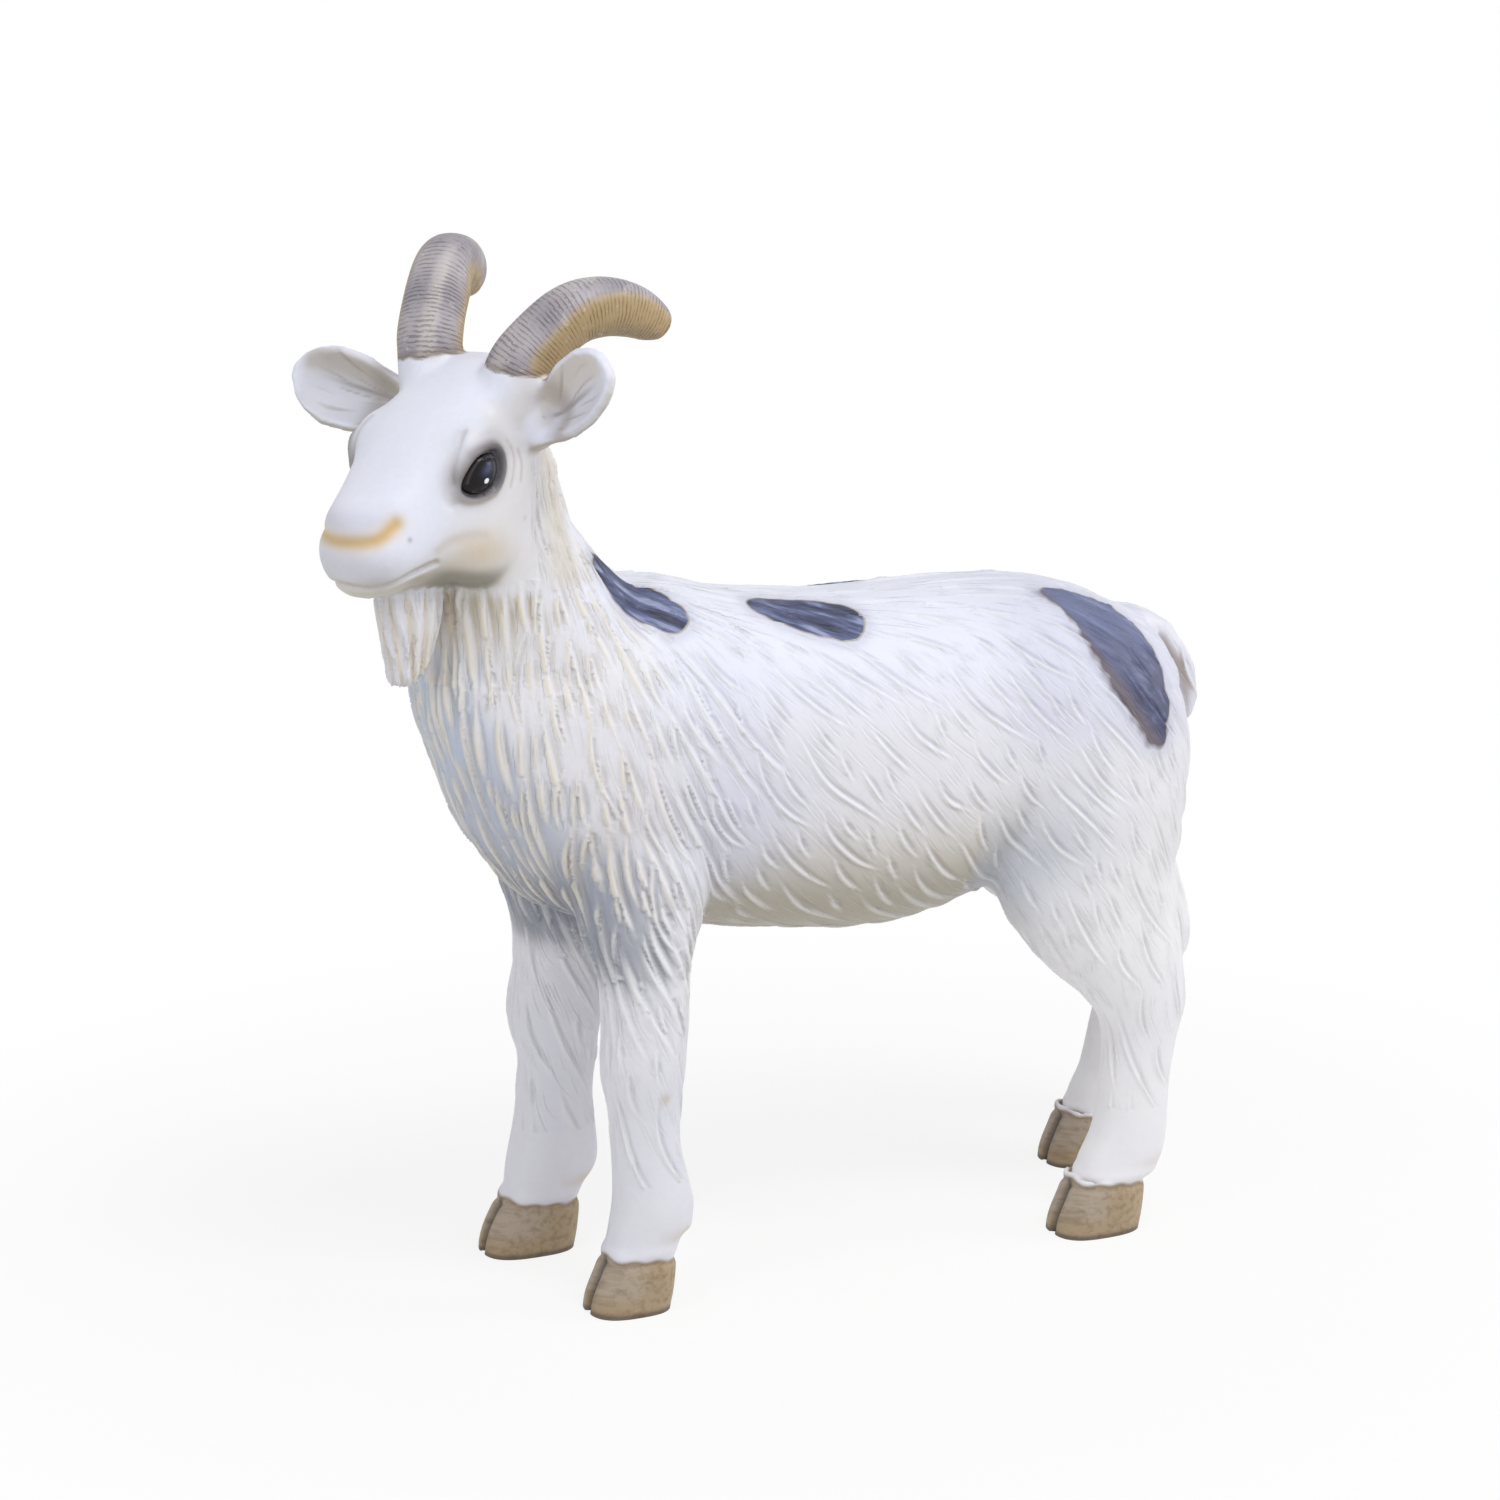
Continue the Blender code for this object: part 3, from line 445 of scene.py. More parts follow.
def tail():
    """Rows: behind the buttock, under the spine, half width and half thickness, all in tail widths."""
    shares = [
        (-1.88, 1.29, 0.50, 0.33), (-0.83, 1.50, 0.50, 0.33), (-0.08, 2.21, 0.48, 0.31),
        (0.25, 3.04, 0.44, 0.29), (0.29, 3.63, 0.33, 0.21), (0.25, 3.88, 0.13, 0.13),
    ]
    rows = []
    for back, down, wide, thick in shares:
        at = (0, BUTTOCK + back * TAIL_WIDTH, SPINE_HEIGHT - down * TAIL_WIDTH)
        rows.append((*at, wide * TAIL_WIDTH, thick * TAIL_WIDTH, thick * TAIL_WIDTH))
    return loft("tail", rows, (1, 0, 0), power=2.2, rings=24, points=24)


def muscles():
    made = []
    half = TRACK / 2
    for sign in (-1, 1):
        made.append(ellipsoid("shoulder", (sign * half * 0.78, FORE_HOOF_Y + 0.012, 0.742 * SPINE_HEIGHT),
                              (0.41 * BODY_HALF_WIDTH, 0.25 * BODY_DEPTH, 0.36 * BODY_DEPTH)))
        made.append(ellipsoid("haunch", (sign * half * 0.76, HIND_HOOF_Y - 0.010, 0.726 * SPINE_HEIGHT),
                              (0.466 * BODY_HALF_WIDTH, 0.36 * BODY_DEPTH, 0.3825 * BODY_DEPTH)))
    return made


def fuse(name, objects, voxel, smoothing, refine=0):
    """One closed skin round all the objects, which are removed."""
    graph = bpy.context.evaluated_depsgraph_get()
    bm = bmesh.new()
    for piece in objects:
        mesh = bpy.data.meshes.new_from_object(piece.evaluated_get(graph))
        bm.from_mesh(mesh)
        bpy.data.meshes.remove(mesh)
        bpy.data.objects.remove(piece, do_unlink=True)
    fused = new_object(name, bm)
    remesh = fused.modifiers.new("fuse", "REMESH")
    remesh.mode = "VOXEL"
    remesh.voxel_size = voxel
    smooth = fused.modifiers.new("soften", "SMOOTH")
    smooth.factor = 0.5
    smooth.iterations = smoothing
    if refine:
        finer = fused.modifiers.new("finer", "SUBSURF")
        finer.levels = refine
    apply_modifiers(fused)
    return fused


def apply_modifiers(thing):
    graph = bpy.context.evaluated_depsgraph_get()
    mesh = bpy.data.meshes.new_from_object(thing.evaluated_get(graph))
    old = thing.data
    thing.modifiers.clear()
    thing.data = mesh
    bpy.data.meshes.remove(old)


def body_core():
    fore_left, fore_right, hind_left, hind_right = (hoof_y for _, hoof_y, *_ in HOOVES)
    parts = [torso(), neck(), *face(), *muscles()]
    parts += [foreleg(1, fore_left, 0, 1.03), foreleg(-1, fore_right, -FORE_STRIDE, 1.16)]
    parts += [hindleg(1, hind_left, 0, 0), hindleg(-1, hind_right, HIND_STRIDE, 0.81)]
    return fuse("core", parts, CORE_VOXEL, CORE_SMOOTHING, 1)


def goat():
    parts = [body_core(), beard(), tail()]
    for sign, lift, above, below in EARS:
        parts += [horn(sign), ear(sign, lift, above, below), ear_root(sign)]
    for sign, hoof_y, toe, heel in HOOVES:
        parts += [hoof(sign, hoof_y, toe, heel), *dewclaws(sign, hoof_y)]
    return cut_soles(fuse("skin", parts, SKIN_VOXEL, SKIN_SMOOTHING))


def cut_soles(thing):
    """Cuts the soles flat on Z = 0."""
    bm = bmesh.new()
    bm.from_mesh(thing.data)
    low = [v for v in bm.verts if v.co.z < 2 * SKIN_VOXEL]
    edges = {e for v in low for e in v.link_edges}
    faces = {f for v in low for f in v.link_faces}
    cut = bmesh.ops.bisect_plane(bm, geom=low + list(edges) + list(faces), dist=1e-6,
                                 plane_co=(0, 0, 0), plane_no=(0, 0, 1), clear_inner=True)
    rim = [e for e in cut["geom_cut"] if isinstance(e, bmesh.types.BMEdge)]
    bmesh.ops.holes_fill(bm, edges=rim, sides=0)
    bmesh.ops.triangulate(bm, faces=[f for f in bm.faces if len(f.verts) > 4])
    bm.to_mesh(thing.data)
    bm.free()
    return thing


class Skin:
    """The vertices of the skin as arrays, also in millimetres on the head."""

    def __init__(self, thing):
        self.mesh = thing.data
        self.count = len(self.mesh.vertices)
        self.read()

    def read(self):
        self.points = np.empty(self.count * 3)
        self.mesh.vertices.foreach_get("co", self.points)
        self.points = self.points.reshape(-1, 3)
        self.normals = np.empty(self.count * 3, np.float32)
        self.mesh.vertex_normals.foreach_get("vector", self.normals)
        self.normals = self.normals.reshape(-1, 3).astype(float)
        self.local = self.on_head(self.points)

    def on_head(self, points):
        rel = (points - np.array(HEAD_AT)) / HEAD_UNIT
        return np.stack([rel @ np.array(LEFT), rel @ np.array(FORWARD), rel @ np.array(UP)], 1)

    def push(self, amount, along=None):
        """Moves the vertices by `amount`, in millimetres."""
        along = self.normals if along is None else np.array(along)
        self.points = self.points + along * (np.asarray(amount) * MM)[:, None]
        self.points[:, 2] = np.maximum(self.points[:, 2], 0)
        self.mesh.vertices.foreach_set("co", self.points.ravel())
        self.mesh.update()
        self.read()

    def along_line(self, rows, reach, places=None, count=80):
        """Distance in millimetres to a line through rows, and the share of its length there."""
        places = self.local if places is None else places
        line = spline(rows, count)
        away = np.full(len(places), float(reach))
        share = np.zeros(len(places))
        low, high = line.min(0) - reach, line.max(0) + reach
        close = np.where(((places > low) & (places < high)).all(1))[0]
        for some in np.array_split(close, max(1, len(close) // 4000)):
            gaps = np.linalg.norm(places[some][:, None, :] - line[None, :, :], axis=2)
            best = np.clip(gaps.argmin(1), 1, count - 2)
            ahead = line[best + 1] - line[best - 1]
            slide = ((places[some] - line[best]) * ahead).sum(1) / (ahead ** 2).sum(1) * 2
            away[some] = np.minimum(gaps.min(1), reach)
            share[some] = (best + np.clip(slide, -1.5, 1.5)) / (count - 1)
        return away, share

    def beside(self, rows, reach, width):
        """1 on a line through rows, fading beside it to next to nothing at `reach`."""
        return bell(self.along_line(rows, reach)[0], width)

    @property
    def places(self):
        """The vertices, in millimetres."""
        return self.points / MM

    @property
    def head_normals(self):
        """The normals on the head: to its left, forward and up."""
        return self.normals @ np.array(HEAD_AXES)


def soften(skin, share, times):
    """Evens out the skin where share is above 0."""
    ends = np.empty(len(skin.mesh.edges) * 2, np.int32)
    skin.mesh.edges.foreach_get("vertices", ends)
    a, b = ends.reshape(-1, 2).T
    met = np.bincount(a, minlength=skin.count) + np.bincount(b, minlength=skin.count)
    p = skin.points.copy()
    for _ in range(times):
        total = [np.bincount(a, p[b, i], skin.count) + np.bincount(b, p[a, i], skin.count) for i in range(3)]
        p += (np.stack(total, 1) / met[:, None] - p) * share[:, None]
    skin.points = p
    skin.push(np.zeros(skin.count))


def bell(value, width):
    return np.exp(-(np.asarray(value) / width) ** 2)


def step(value, low, high):
    """0 below low, 1 above high, smooth between."""
    t = np.clip((np.asarray(value) - low) / (high - low), 0, 1)
    return t * t * (3 - 2 * t)


EYE_AT = (37.0, -48.2)   # forward and up on the head
EYE_LEAN = 38
EYE_RADII = (12.3, 9.9)


def almond_height(long):
    """Half the eye's height, which falls off a little faster towards the inner corner."""
    return EYE_RADII[1] - np.where(np.asarray(long) < 0, 0.12, 0.03) * np.abs(long)


def almond(local, sign):
    """Where each point lies on the eye's almond: across, up and 0 at the middle to 1 at the rim."""
    l, f, u = local.T
    lean = math.radians(EYE_LEAN)
    forward, up = f - EYE_AT[0], u - EYE_AT[1]
    long = -forward * math.cos(lean) + up * math.sin(lean)
    high = forward * math.sin(lean) + up * math.cos(lean)
    q = np.sqrt((long / EYE_RADII[0]) ** 2 + (high / almond_height(long)) ** 2)
    return long, high, np.where(sign * l > 18, q, 9.0)


def mirrored(rows):
    """A line on the right side of the face, carried on over the middle to the left side."""
    return rows + [(-l, f, u) for l, f, u in reversed(rows[:-1])]


# Lines on the face: l, f, u
CREASE = mirrored([(-23, 80, -69), (-22, 84, -72), (-19.6, 89.3, -75.7), (-12, 94, -77.8), (0, 96, -78.6)])
MOUTH = mirrored([(-24.5, 57, -90), (-23.7, 65, -93.5), (-21.4, 76.7, -98), (-14.4, 87, -101), (0, 93, -101)])
FURROW = [(33, 42, -25), (36, 50, -30), (36.5, 53, -36), (36.3, 54.4, -44.5), (36, 52.5, -52)]
CHEEK_FOLD = [(28, 57, -86), (31, 52, -82), (35, 44, -80), (38, 35, -80)]
CROWS = (
    [(42, 18, -34), (42, 15, -40), (42, 15, -48), (42, 18, -57)],
    [(42, 11, -40), (42, 9, -47), (42, 10, -55)],
)


def laid(skin, tree, rows, sign=1):
    """The line through rows, on the side `sign`, moved onto the skin."""
    line = spline([(sign * l, f, u) for l, f, u in rows], 24)
    return skin.on_head(np.array([tree.find_nearest(head(*p))[0] for p in line]))


def carve_face(skin):
    """Evens the face and the roots of the ears, then cuts the nose, mouth, lids and folds.
    Returns their lines.
    """
    l, f, u = skin.local.T
    root = np.linalg.norm(np.stack([np.abs(l) - 36, f, u + 21], 1), axis=1)
    soften(skin, 0.9 * step(-root, -36, -26), 18)
    notch = np.linalg.norm(np.stack([np.abs(l) - 41, f - 15, u + 9], 1), axis=1)
    soften(skin, 0.9 * step(-notch, -17, -9), 45)
    soften(skin, 0.9 * step(f, 10, 24) * step(u, -112, -104) * (np.abs(l) < 46), 34)
    tree = surface(skin)
    lines = {"crease": laid(skin, tree, CREASE), "mouth": laid(skin, tree, MOUTH)}
    crease, mouth = skin.beside(lines["crease"], 12, 3.6), skin.beside(lines["mouth"], 9, 1.6)
    skin.push(-1.4 * crease - 1.9 * mouth)
    for sign in (-1, 1):
        furrow, fold = laid(skin, tree, FURROW, sign), laid(skin, tree, CHEEK_FOLD, sign)
        crows = [laid(skin, tree, rows, sign) for rows in CROWS]
        lines[sign] = furrow, fold, crows
        _, high, q = almond(skin.local, sign)
        lids = 1.7 * bell(q - 1.26, 0.17) - 2.0 * bell(q - 0.98, 0.13)
        lids -= 0.9 * bell(q - 1.75, 0.2) * (high > -4)
        lids += 1.2 * bell(q, 0.8) + 0.9 * bell(q - 1.25, 0.2) * step(high, 0, 7)
        skin.push(np.where(q < 2.6, lids, 0), LEFT * sign)
        ridge = skin.beside(furrow + (0, -3, 0), 8, 2.2)
        skin.push(-1.2 * skin.beside(furrow, 8, 1.6) + 0.7 * ridge)
        skin.push(-0.55 * skin.beside(fold, 9, 3.0))
        for rows in crows:
            skin.push(-0.45 * skin.beside(rows, 6, 1.1))
    return lines


def carve_hooves(skin):
    for sign, hoof_y, *_ in HOOVES:
        x, y, z = skin.places.T
        x, y = x - sign * TRACK / 2 / MM, y - hoof_y / MM
        here = (np.abs(x) < 26) & (np.abs(y) < 40)
        low = here & (z < HOOF_HEIGHT / MM)
        cleft = -3.6 * bell(x, 1.8) * np.clip(-skin.normals[:, 1], 0, 1)
        cleft *= np.clip((HOOF_HEIGHT / MM - z) / 6, 0, 1)
        ledge = -1.1 * bell(z - HOOF_HEIGHT / MM + 2, 2.0) + 0.9 * bell(z - HOOF_HEIGHT / MM - 3.5, 3.0)
        skin.push(np.where(low, cleft, 0) + np.where(here & (z < 45), ledge, 0))


def flow(at, normal):
    """Which way the hair lies: back and down on the flank, straight down on the throat."""
    _, y, z = at
    height = z / SPINE_HEIGHT
    throat = min(1, max(0, (BREAST + 0.170 - y) / 0.120)) * min(1, max(0, (height - 0.42) / 0.16))
    thigh = min(1, max(0, (y - BUTTOCK + 0.105) / 0.060))
    leg = min(1, max(0, (0.55 - height) / 0.14))
    back = 0.62 * (1 - throat) * (1 - 0.35 * thigh) * (1 - 0.6 * leg)
    lie = Vector((0, back + 0.10, -0.78))
    lie -= normal * lie.dot(normal)
    if normal.z > 0.55:
        lie += Vector((0, 1, 0)) * (normal.z - 0.55) * 2.0
        lie -= normal * lie.dot(normal)
    return lie.normalized() if lie.length > 1e-6 else Vector((0, 1, 0))


def hair_strokes(skin, tree, wanted, spacing, width, lengths, bends, seed, most=30000):
    """Curved strokes along the lie of the hair: rows of (point, direction across, strength, width).
    They sweep back more and more towards the end; bends gives how much, least and most.
    """
    random = np.random.default_rng(seed)
    starts = random.permutation(np.where(wanted > 0)[0])[:most]
    taken, strokes = {}, []
    stride = max(0.002, 0.35 * spacing)

    def crowded(p, own):
        x, y, z = (int(c // spacing) for c in p)
        cells = (taken.get((x + i, y + j, z + k), ()) for i, j, k in product((-1, 0, 1), repeat=3))
        return any(other != own and (p - q).length < spacing for cell in cells for other, q in cell)

    for number, start in enumerate(starts):
        if random.random() > wanted[start]:
            continue
        at, normal = Vector(skin.points[start]), Vector(skin.normals[start])
        if crowded(at, number):
            continue
        length, bend = random.uniform(*lengths), random.uniform(*bends)
        sway, phase = random.uniform(-0.12, 0.12), random.uniform(0.6, 1.3)
        rows, gone, upward = [], 0.0, 1
        while gone < length:
            share = gone / length
            way = flow(at, normal) + Vector((0, bend * (share - 0.4), 0))
            way -= normal * way.dot(normal)
            way.normalize()
            way.rotate(Matrix.Rotation(sway * math.sin(phase * 2 * math.pi * share), 3, normal))
            across = normal.cross(way).normalized()
            if not rows:
                upward = 1 if across.dot(Vector((0, 0.6, 1))) > 0 else -1
            rows.append((at.copy(), across * upward))
            hit = tree.find_nearest(at + way * stride)
            if hit[0] is None or (hit[0] - at).length < 0.3 * stride:
                break
            at, normal = hit[0], hit[1]
            gone += stride
            if crowded(at, number):
                break
        if len(rows) < 4:
            continue
        for i, (p, across) in enumerate(rows):
            taken.setdefault(tuple(int(c // spacing) for c in p), []).append((number, p))
            strokes.append((p, across, math.sin(math.pi * (i + 0.6) / (len(rows) + 0.2)) ** 0.8, width))
    return strokes


def comb(skin, strokes, reach):
    """For each vertex, how many widths it lies beside the nearest stroke, and how strong that is there."""
    tree = KDTree(len(strokes))
    for i, stroke in enumerate(strokes):
        tree.insert(stroke[0], i)
    tree.balance()
    offset, strength_here = np.zeros(skin.count), np.zeros(skin.count)
    for i in np.where(reach)[0]:
        p = Vector(skin.points[i])
        _, index, away = tree.find(p)
        q, across, strength, width = strokes[index]
        if away > 4 * width:
            continue
        beside = (p - q).dot(across) / width
        beyond = max(0.0, away - abs(beside) * width)
        offset[i] = beside / (0.55 + 0.45 * strength)
        strength_here[i] = strength * math.exp(-(beyond / (2.2 * width)) ** 2)
    return offset, strength_here * step(-np.abs(offset), -3.2, -2.4)


# Across a stroke, in its widths: where the ridge and the furrow lie, and how wide they are
RIDGE_AT, RIDGE_WIDTH = -0.9, 0.85
FURROW_AT, FURROW_WIDTH = 0.7, 0.8


def groove(offset, strength, depth, lip):
    """Height across a stroke: a furrow on its upper side and a ridge on its lower side."""
    ridge, furrow = bell(offset - RIDGE_AT, RIDGE_WIDTH), bell(offset - FURROW_AT, FURROW_WIDTH)
    return strength * (lip * ridge - depth * furrow)


def stands_on_head(skin):
    _, f, u = skin.local.T
    return (u > -106) & (f > 1) | (u > -46)


def coat(skin):
    """How thickly the flank, shoulder and thigh are carved, 0 to 1."""
    z = skin.points[:, 2]
    amount = 0.25 + 0.6 * step(z, 0.13, 0.20) * step(-skin.normals[:, 2], -0.75, -0.3)
    amount[skin.normals[:, 2] < -0.65] *= 0.15
    amount[z < 0.11] *= 0.3
    amount[z < 0.07] = 0
    amount[stands_on_head(skin)] = 0
    return amount


def locks(skin):
    """How thickly the throat, neck and breast are carved with long locks."""
    _, y, z = skin.points.T
    amount = 0.9 * step(-y, 0.100, 0.125) * (z > 0.19)
    amount[stands_on_head(skin)] = 0
    return amount


def comb_beard(skin):
    l, f, u = skin.local.T
    here = (u < -108) & (u > -162) & (f > 24) & (f < 76) & (np.abs(l) < 18)
    around = np.arctan2(l / 12, (f - 49) / 18)
    strands = np.sin(11 * around + 0.05 * u) * np.clip((-106 - u) / 8, 0, 1)
    skin.push(np.where(here, 0.9 * strands, 0))
    return np.where(here, strands, 0)


def linear(colour):
    """A colour from 0-255 numbers as seen on a screen, in Blender's linear numbers."""
    c = np.asarray(colour, float) / 255
    return np.where(c <= 0.04045, c / 12.92, ((c + 0.055) / 1.055) ** 2.4)


class Paint:
    """A colour and a gloss for each vertex, laid on in coats."""

    def __init__(self, count, colour):
        self.colour = np.tile(linear(colour), (count, 1))
        self.rough = np.full(count, 0.42)

    def coat(self, colour, share, rough=None):
        share = np.clip(share, 0, 1)
        self.colour += (linear(colour) - self.colour) * share[:, None]
        if rough is not None:
            self.rough += (rough - self.rough) * share


# Dark patches: rows of (x, y, z, radius) in millimetres, in the frame that the volumes are built in
NECK_PATCH = [(26, -138, 388, 8.5), (30, -129, 377.5, 13), (35, -116, 369, 14.5), (41, -107, 363, 10.5)]
BACK_PATCH = [(26, -46, 361, 9), (30, -35, 358, 12.5), (33, -21, 354.5, 14.5), (36, -9, 351, 14.5)]
RUMP_PATCH = [(28, 119, 353, 6), (34, 134, 346.5, 16), (43, 147, 335, 21), (54, 156, 317, 21),
              (64, 162, 297, 16.5), (69, 165, 282, 9.5)]
# Side, rows, how far back and up it is moved, how wavy its edge is, a seed for that, and whether an outline
# is engraved round it
PATCHES = (
    (1, NECK_PATCH, (0, 0), 0.7, 1, True), (1, BACK_PATCH, (0, 0), 0.6, 2, True),
    (1, RUMP_PATCH, (0, 0), 1.8, 3, False), (-1, NECK_PATCH, (16, -6), 0.7, 4, True),
    (-1, BACK_PATCH, (44, 0), 0.6, 5, True), (-1, RUMP_PATCH, (-8, -2), 1.8, 6, False),
)
RIGHT_PATCH_SHARE = 0.94

# Places (x, y, z) in millimetres, in the same frame
RUBBED_KNEE = (71.8, -122.4, 117.2)
NICKS = (48.3, -187.2, 422.2), (65, -254, 419.7)


def patch(skin, rows, wave, seed):
    """How far each vertex is inside a patch's edge, in millimetres."""
    rows = spline(rows, 60)
    _, y, z = skin.places.T
    away, share = skin.along_line(rows[:, :3], 40, skin.places, 60)
    radius = np.interp(share, np.linspace(0, 1, len(rows)), rows[:, 3])
    wobble = 0.5 * np.sin(0.31 * y + 0.23 * z + seed) + 0.3 * np.sin(0.53 * y - 0.47 * z + 2 * seed)
    return radius - away - wobble * wave


def paint_coat(skin, paint, cut, head_):
    """White, cool from above as painted skylight and creamy from below as painted shade, with a cream wash in
    the folds of the throat, painted shade on the breast and under the jaw, and painted highlights on the
    carved ridges.
    """
    x, y, z = skin.places.T
    _, ny, nz = skin.normals.T
    torso_ = step(z, 130, 190)
    # painted skylight: a cooler, bluer white where the body faces up and high on the back
    paint.coat((236, 239, 253), 0.9 * np.maximum(step(nz, 0.0, 0.7), step(z, 285, 335)) * torso_)
    barrel = torso_ * step(y, -96, -70) * (1 - 0.8 * step(y, 85, 125))
    # painted shade: creamier on the lower barrel and darker where the body faces down
    paint.coat((214, 206, 189), 0.72 * step(-z, -275, -205) * barrel)
    paint.coat((170, 161, 138), 0.9 * step(-nz, 0.05, 0.7) * torso_ * step(-y, -185, -130))
    # painted shadow in the fold of the groin
    groin_shade = bell(np.hypot(y - 92, (z - 205) * 0.8), 34) * step(np.abs(x), 20, 50) * (y > 60)
    paint.coat((174, 184, 202), 0.75 * groin_shade)
    paint.coat((231, 231, 240), 0.6 * step(-z, -190, -110) * step(-y, -80, -20))
    # painted light: the lower hind legs lighter, as if lit from behind
    paint.coat((248, 247, 249), 0.75 * step(-z, -235, -190) * step(y, 70, 110))
    paint.coat((218, 219, 235), 0.8 * step(y, 55, 100) * step(z, 262, 300))
    throat = step(-y, 95, 150) * step(z, 190, 230) * (1 - head_)
    paint.coat((231, 228, 224), 0.60 * throat * step(z, 280, 340) * step(-ny, -0.45, 0.25))
    # painted shade on the front of the neck and breast, where they face forward
    paint.coat((188, 200, 220), 0.9 * throat * step(-ny, 0.62, 0.92) * step(-z, -364, -340))
    paint.coat((180, 188, 204), 0.8 * throat * step(-ny, 0.15, 0.6) * step(-z, -310, -265))
    # painted shade low on the breast, above the forelegs
    low_breast_shade = step(-z, -265, -225) * step(z, 175, 200) * step(-y, 110, 135) * step(-ny, -0.2, 0.3)
    paint.coat((136, 142, 156), 0.60 * low_breast_shade)
    # painted shadow between the forelegs, where the body faces down
    between_legs_shade = step(-nz, -0.15, 0.4) * step(-y, 105, 125) * step(z, 166, 182) * step(-z, -245, -215)
    paint.coat((112, 118, 132), 0.8 * between_legs_shade)
    shoulder = bell(np.hypot(y + 80, (z - 262) * 0.7), 34) * step(np.abs(x), 25, 45) * step(z, 205, 235)
    paint.coat((210, 213, 232), 0.6 * shoulder)
    # painted shadow on the throat just under the jaw
    paint.coat((188, 174, 146), 0.85 * throat * step(z, 346, 382) * step(-ny, 0.1, 0.6))
    # a cream wash in the throat's grooves, painted shade in the other grooves, and painted highlights on the
    # ridges
    deep, high = np.clip(-cut / 0.9, 0, 1), np.clip(cut / 0.7, 0, 1)
    paint.coat((206, 194, 172), 0.40 * deep * throat)
    paint.coat((200, 199, 206), 0.30 * deep * (1 - throat) * (1 - head_))
    paint.coat((238, 230, 212), 0.75 * high * throat)
    paint.coat((243, 242, 240), 0.45 * high * (1 - throat) * (1 - head_))
    # a rubbed knee, and small nicks in the paint
    paint.coat((190, 165, 125), 0.5 * bell(np.linalg.norm(skin.places - RUBBED_KNEE, axis=1), 3.2))
    for nick in NICKS:
        paint.coat((120, 112, 105), 0.7 * bell(np.linalg.norm(skin.places - nick, axis=1), 1.3))
    return throat


def paint_head(skin, paint, head_, lines):
    l, f, u = skin.local.T
    nl, _, nu = skin.head_normals.T
    side = np.abs(l)
    # painted skylight: a cooler white where the head faces up, creamier on its sides
    paint.coat((238, 241, 254), 0.9 * head_ * step(nu, -0.2, 0.6))
    paint.coat((229, 225, 219), 0.65 * head_ * step(np.abs(nl), 0.35, 0.9) * step(-f, -70, -20))
    paint.coat((208, 192, 164), 0.85 * bell(np.hypot(f - 37, (u + 87) * 1.5), 17) * (side > 22) * head_)
    paint.coat((216, 206, 186), 0.6 * head_ * step(-f, 2, 16) * step(side, 22, 34) * step(-u, 20, 40))
    # painted shadow under the jaw
    jaw_shadow = step(-nu, 0.35, 0.8) * head_ * step(f, -8, 4) * step(-f, -62, -46) * step(-u, 92, 98)
    paint.coat((132, 126, 108), 0.85 * jaw_shadow)
    crease, mouth = lines["crease"], lines["mouth"]
    paint.coat((206, 206, 220), 0.60 * skin.beside(crease[5:-5] + (0, -3, 9), 20, 7))
    paint.coat((238, 224, 194), 0.6 * skin.beside(crease, 14, 5.5))
    paint.coat((216, 182, 118), 1.15 * skin.beside(crease, 12, 3.5))
    paint.coat((222, 216, 200), 0.6 * head_ * step(-u, 96, 104) * step(f, 60, 74))
    paint.coat((206, 206, 213), 0.65 * head_ * bell(u + 90, 8) * step(f, 66, 84))
    paint.coat((196, 186, 170), 0.5 * skin.beside(mouth, 9, 2.4))
    paint.coat((150, 138, 120), 0.8 * skin.beside(mouth, 9, 0.9))
    for sign in (-1, 1):
        long, high, q = almond(skin.local, sign)
        paint.coat((186, 178, 172), 0.50 * bell(q - 1.15, 0.60) * (q < 3))
        paint.coat((96, 86, 74), 0.90 * bell(q - 1.10, 0.36) * step(high + 0.3 * long, -3, 5) * (q < 3))
        paint.coat((118, 108, 102), 0.6 * bell(q - 1.20, 0.24) * (q < 3))
        paint.coat((34, 28, 27), step(-q, -1.32, -1.04), 0.25)
        paint.coat((74, 62, 54), 0.6 * bell(q - 1.30, 0.16) * step(long, -4, 6))
        furrow, fold, crows = lines[sign]
        paint.coat((126, 114, 114), 0.85 * skin.beside(furrow, 6, 0.9))
        paint.coat((184, 178, 178), 0.45 * skin.beside(furrow + (0, 2.5, 0), 9, 3.2))
        # painted shade along the cheek fold
        paint.coat((206, 196, 180), 0.40 * skin.beside(fold, 9, 3.2))
        for rows in crows:
            paint.coat((178, 164, 150), 0.5 * skin.beside(rows, 6, 1.0))


